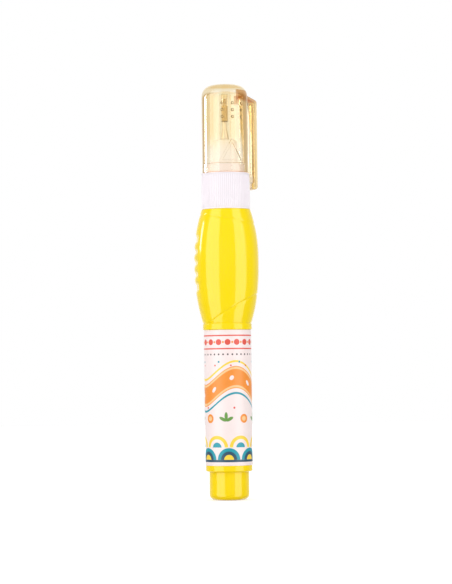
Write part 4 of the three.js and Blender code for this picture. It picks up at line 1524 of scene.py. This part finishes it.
class PEN_OT_stage(bpy.types.Operator):
    """Makes the camera, the lights, the floor and the backdrop."""

    bl_idname = "pen.stage"
    bl_label = "Stage"

    def camera(self, s):
        """The camera, low in front of the pen and tilted up a little."""
        data = bpy.data.cameras.new("camera")
        data.sensor_width, data.lens = 36.0, s.camera_lens
        data.clip_start, data.clip_end = 0.01, 20.0
        camera = bpy.data.objects.new("camera", data)
        tilt = Matrix.Rotation(math.pi / 2 + s.camera_pitch, 4, "X") @ Matrix.Rotation(s.camera_roll, 4, "Z")
        camera.matrix_world = Matrix.Translation((s.camera_side, -s.camera_distance, s.camera_height)) @ tilt
        bpy.context.scene.collection.objects.link(camera)
        bpy.context.scene.camera = camera

    def floor(self, s):
        """A wide white disc just under the pen, which glows a little for the camera, more so farther away."""
        material, g = new_finish("white floor")
        glow_start, glow_fade, level = 0.1, 0.4, -0.02 * MM
        vector = g.place()
        x, y = g.parts(vector)[:2]
        tone = g.mix(g.noise(vector, scale=30.0), (0.8, 0.8, 0.8), (0.78, 0.78, 0.78))
        paper = principled(g, Base_Color=tone, Roughness=0.9)
        rays = g.add("ShaderNodeLightPath", output="Is Camera Ray")
        away = (((x * x + y * y) ** 0.5 - glow_start) / glow_fade).smooth()
        glow = rays * (s.floor_glow + away * (s.far_glow - s.floor_glow))
        glow = g.add("ShaderNodeEmission", None, {"Strength": glow})
        show(g, g.add("ShaderNodeAddShader", None, {0: paper, 1: glow}))
        rows = turned([(radius, level) for radius in (0, 0.1, 0.4, 1.2)], SMALL_ROUND)
        floor = piece_from("floor", skin(rows, closed=False), material)
        floor.visible_shadow = floor.visible_glossy = False

    def backdrop(self):
        """A white wall that curves behind the pen."""
        material, g = new_finish("white backdrop")
        show(g, g.add("ShaderNodeEmission", None, {"Color": (1.0, 1.0, 1.0), "Strength": 1.0}))
        radius, first_azimuth, span, steps = 1.25, 150, 60, 64
        turns = [math.radians(first_azimuth + span * i / steps) for i in range(steps + 1)]
        made = bmesh.new()
        rows = []
        for height in (-1.2, 0.0, 1.4):
            places = [(radius * math.sin(turn), -radius * math.cos(turn), height) for turn in turns]
            rows.append([made.verts.new(place) for place in places])
        for low, high in zip(rows, rows[1:]):
            for i in range(steps):
                made.faces.new((low[i], high[i], high[i + 1], low[i + 1]))
        piece_from("backdrop", made, material)

    def world(self, s):
        """Soft light all round: white to the camera, dim in front for gloss, warm-sided through plastic."""
        world = bpy.data.worlds.new("studio")
        bpy.context.scene.world = world
        world.use_nodes = True
        world.node_tree.nodes.clear()
        g = Graph(world.node_tree)
        back_start, back_fade, side_start, side_fade = 0.1, 0.7, 0.3, 0.6
        rays = g.add("ShaderNodeLightPath", output="Is Camera Ray")
        depth = rays.other("Transmission Depth")
        seen = rays.math("MAXIMUM", depth > 0.5)
        x, y = g.parts(g.add("ShaderNodeTexCoord", output="Generated"))[:2]
        mirror = s.mirror_level + ((y - back_start) / back_fade).smooth() * (s.mirror_back - s.mirror_level)
        level = s.fill_level + rays.other("Is Glossy Ray") * (mirror - s.fill_level)
        level = level + seen * (1.0 - level)
        side = ((abs(x) - side_start) / side_fade).smooth() * depth.math("MINIMUM", 1.0)
        tone = g.mix(side, (1.0, 1.0, 1.0), s.side_tone)
        background = g.add("ShaderNodeBackground", None, {"Color": tone, "Strength": level})
        g.add("ShaderNodeOutputWorld", None, {"Surface": background})
        world.cycles.sampling_method = "NONE"

    def execute(self, context):
        s = context.scene.pen_stage
        self.camera(s)
        self.floor(s)
        self.backdrop()
        self.world(s)
        for name, azimuth, width in (("left strip", -52, 0.62), ("right strip", 53, 0.5)):
            strip = lamp(name, azimuth, 0.65, height=0.07, width=width, tall=1.3, level=s.strip_level)
            strip.visible_diffuse = False
        key = lamp("key", -4, 0.9, height=0.3, width=0.9, tall=1.2, level=s.key_level)
        key.visible_glossy = False
        lamp("glint", -107, 0.6, height=0.227, width=0.06, tall=0.16, level=s.glint_level)
        context.scene.view_settings.view_transform = "Standard"
        return {"FINISHED"}


# Panel and registration

OPERATORS = (
    PEN_OT_bottle,
    PEN_OT_squeeze_bulb,
    PEN_OT_label,
    PEN_OT_collar,
    PEN_OT_nozzle,
    PEN_OT_valve,
    PEN_OT_ball,
    PEN_OT_cap,
    PEN_OT_seal,
    PEN_OT_stage,
)
GROUPS = {
    "pen_bottle": PenBottleSizes,
    "pen_bulb": PenBulbSizes,
    "pen_collar": PenCollarSizes,
    "pen_spring": PenSpringSizes,
    "pen_cap": PenCapSizes,
    "pen_finishes": PenFinishes,
    "pen_stage": PenStageSettings,
}


class PEN_PT_panel(bpy.types.Panel):
    """Lists the pen's pieces and settings."""

    bl_idname = "PEN_PT_panel"
    bl_label = "Correction pen"
    bl_space_type = "VIEW_3D"
    bl_region_type = "UI"
    bl_category = "Pen"

    def draw(self, context):
        for operator in OPERATORS:
            self.layout.operator(operator.bl_idname)
        for name, group in GROUPS.items():
            column = self.layout.box().column(align=True)
            for key in group.__annotations__:
                column.prop(getattr(context.scene, name), key)


def register():
    for kind in (*GROUPS.values(), *OPERATORS, PEN_PT_panel):
        bpy.utils.register_class(kind)
    for name, group in GROUPS.items():
        setattr(bpy.types.Scene, name, PointerProperty(type=group))


def unregister():
    for name in GROUPS:
        delattr(bpy.types.Scene, name)
    for kind in reversed((*GROUPS.values(), *OPERATORS, PEN_PT_panel)):
        bpy.utils.unregister_class(kind)


def main():
    register()
    for operator in OPERATORS:
        group, name = operator.bl_idname.split(".")
        getattr(getattr(bpy.ops, group), name)()


if __name__ == "__main__":
    main()
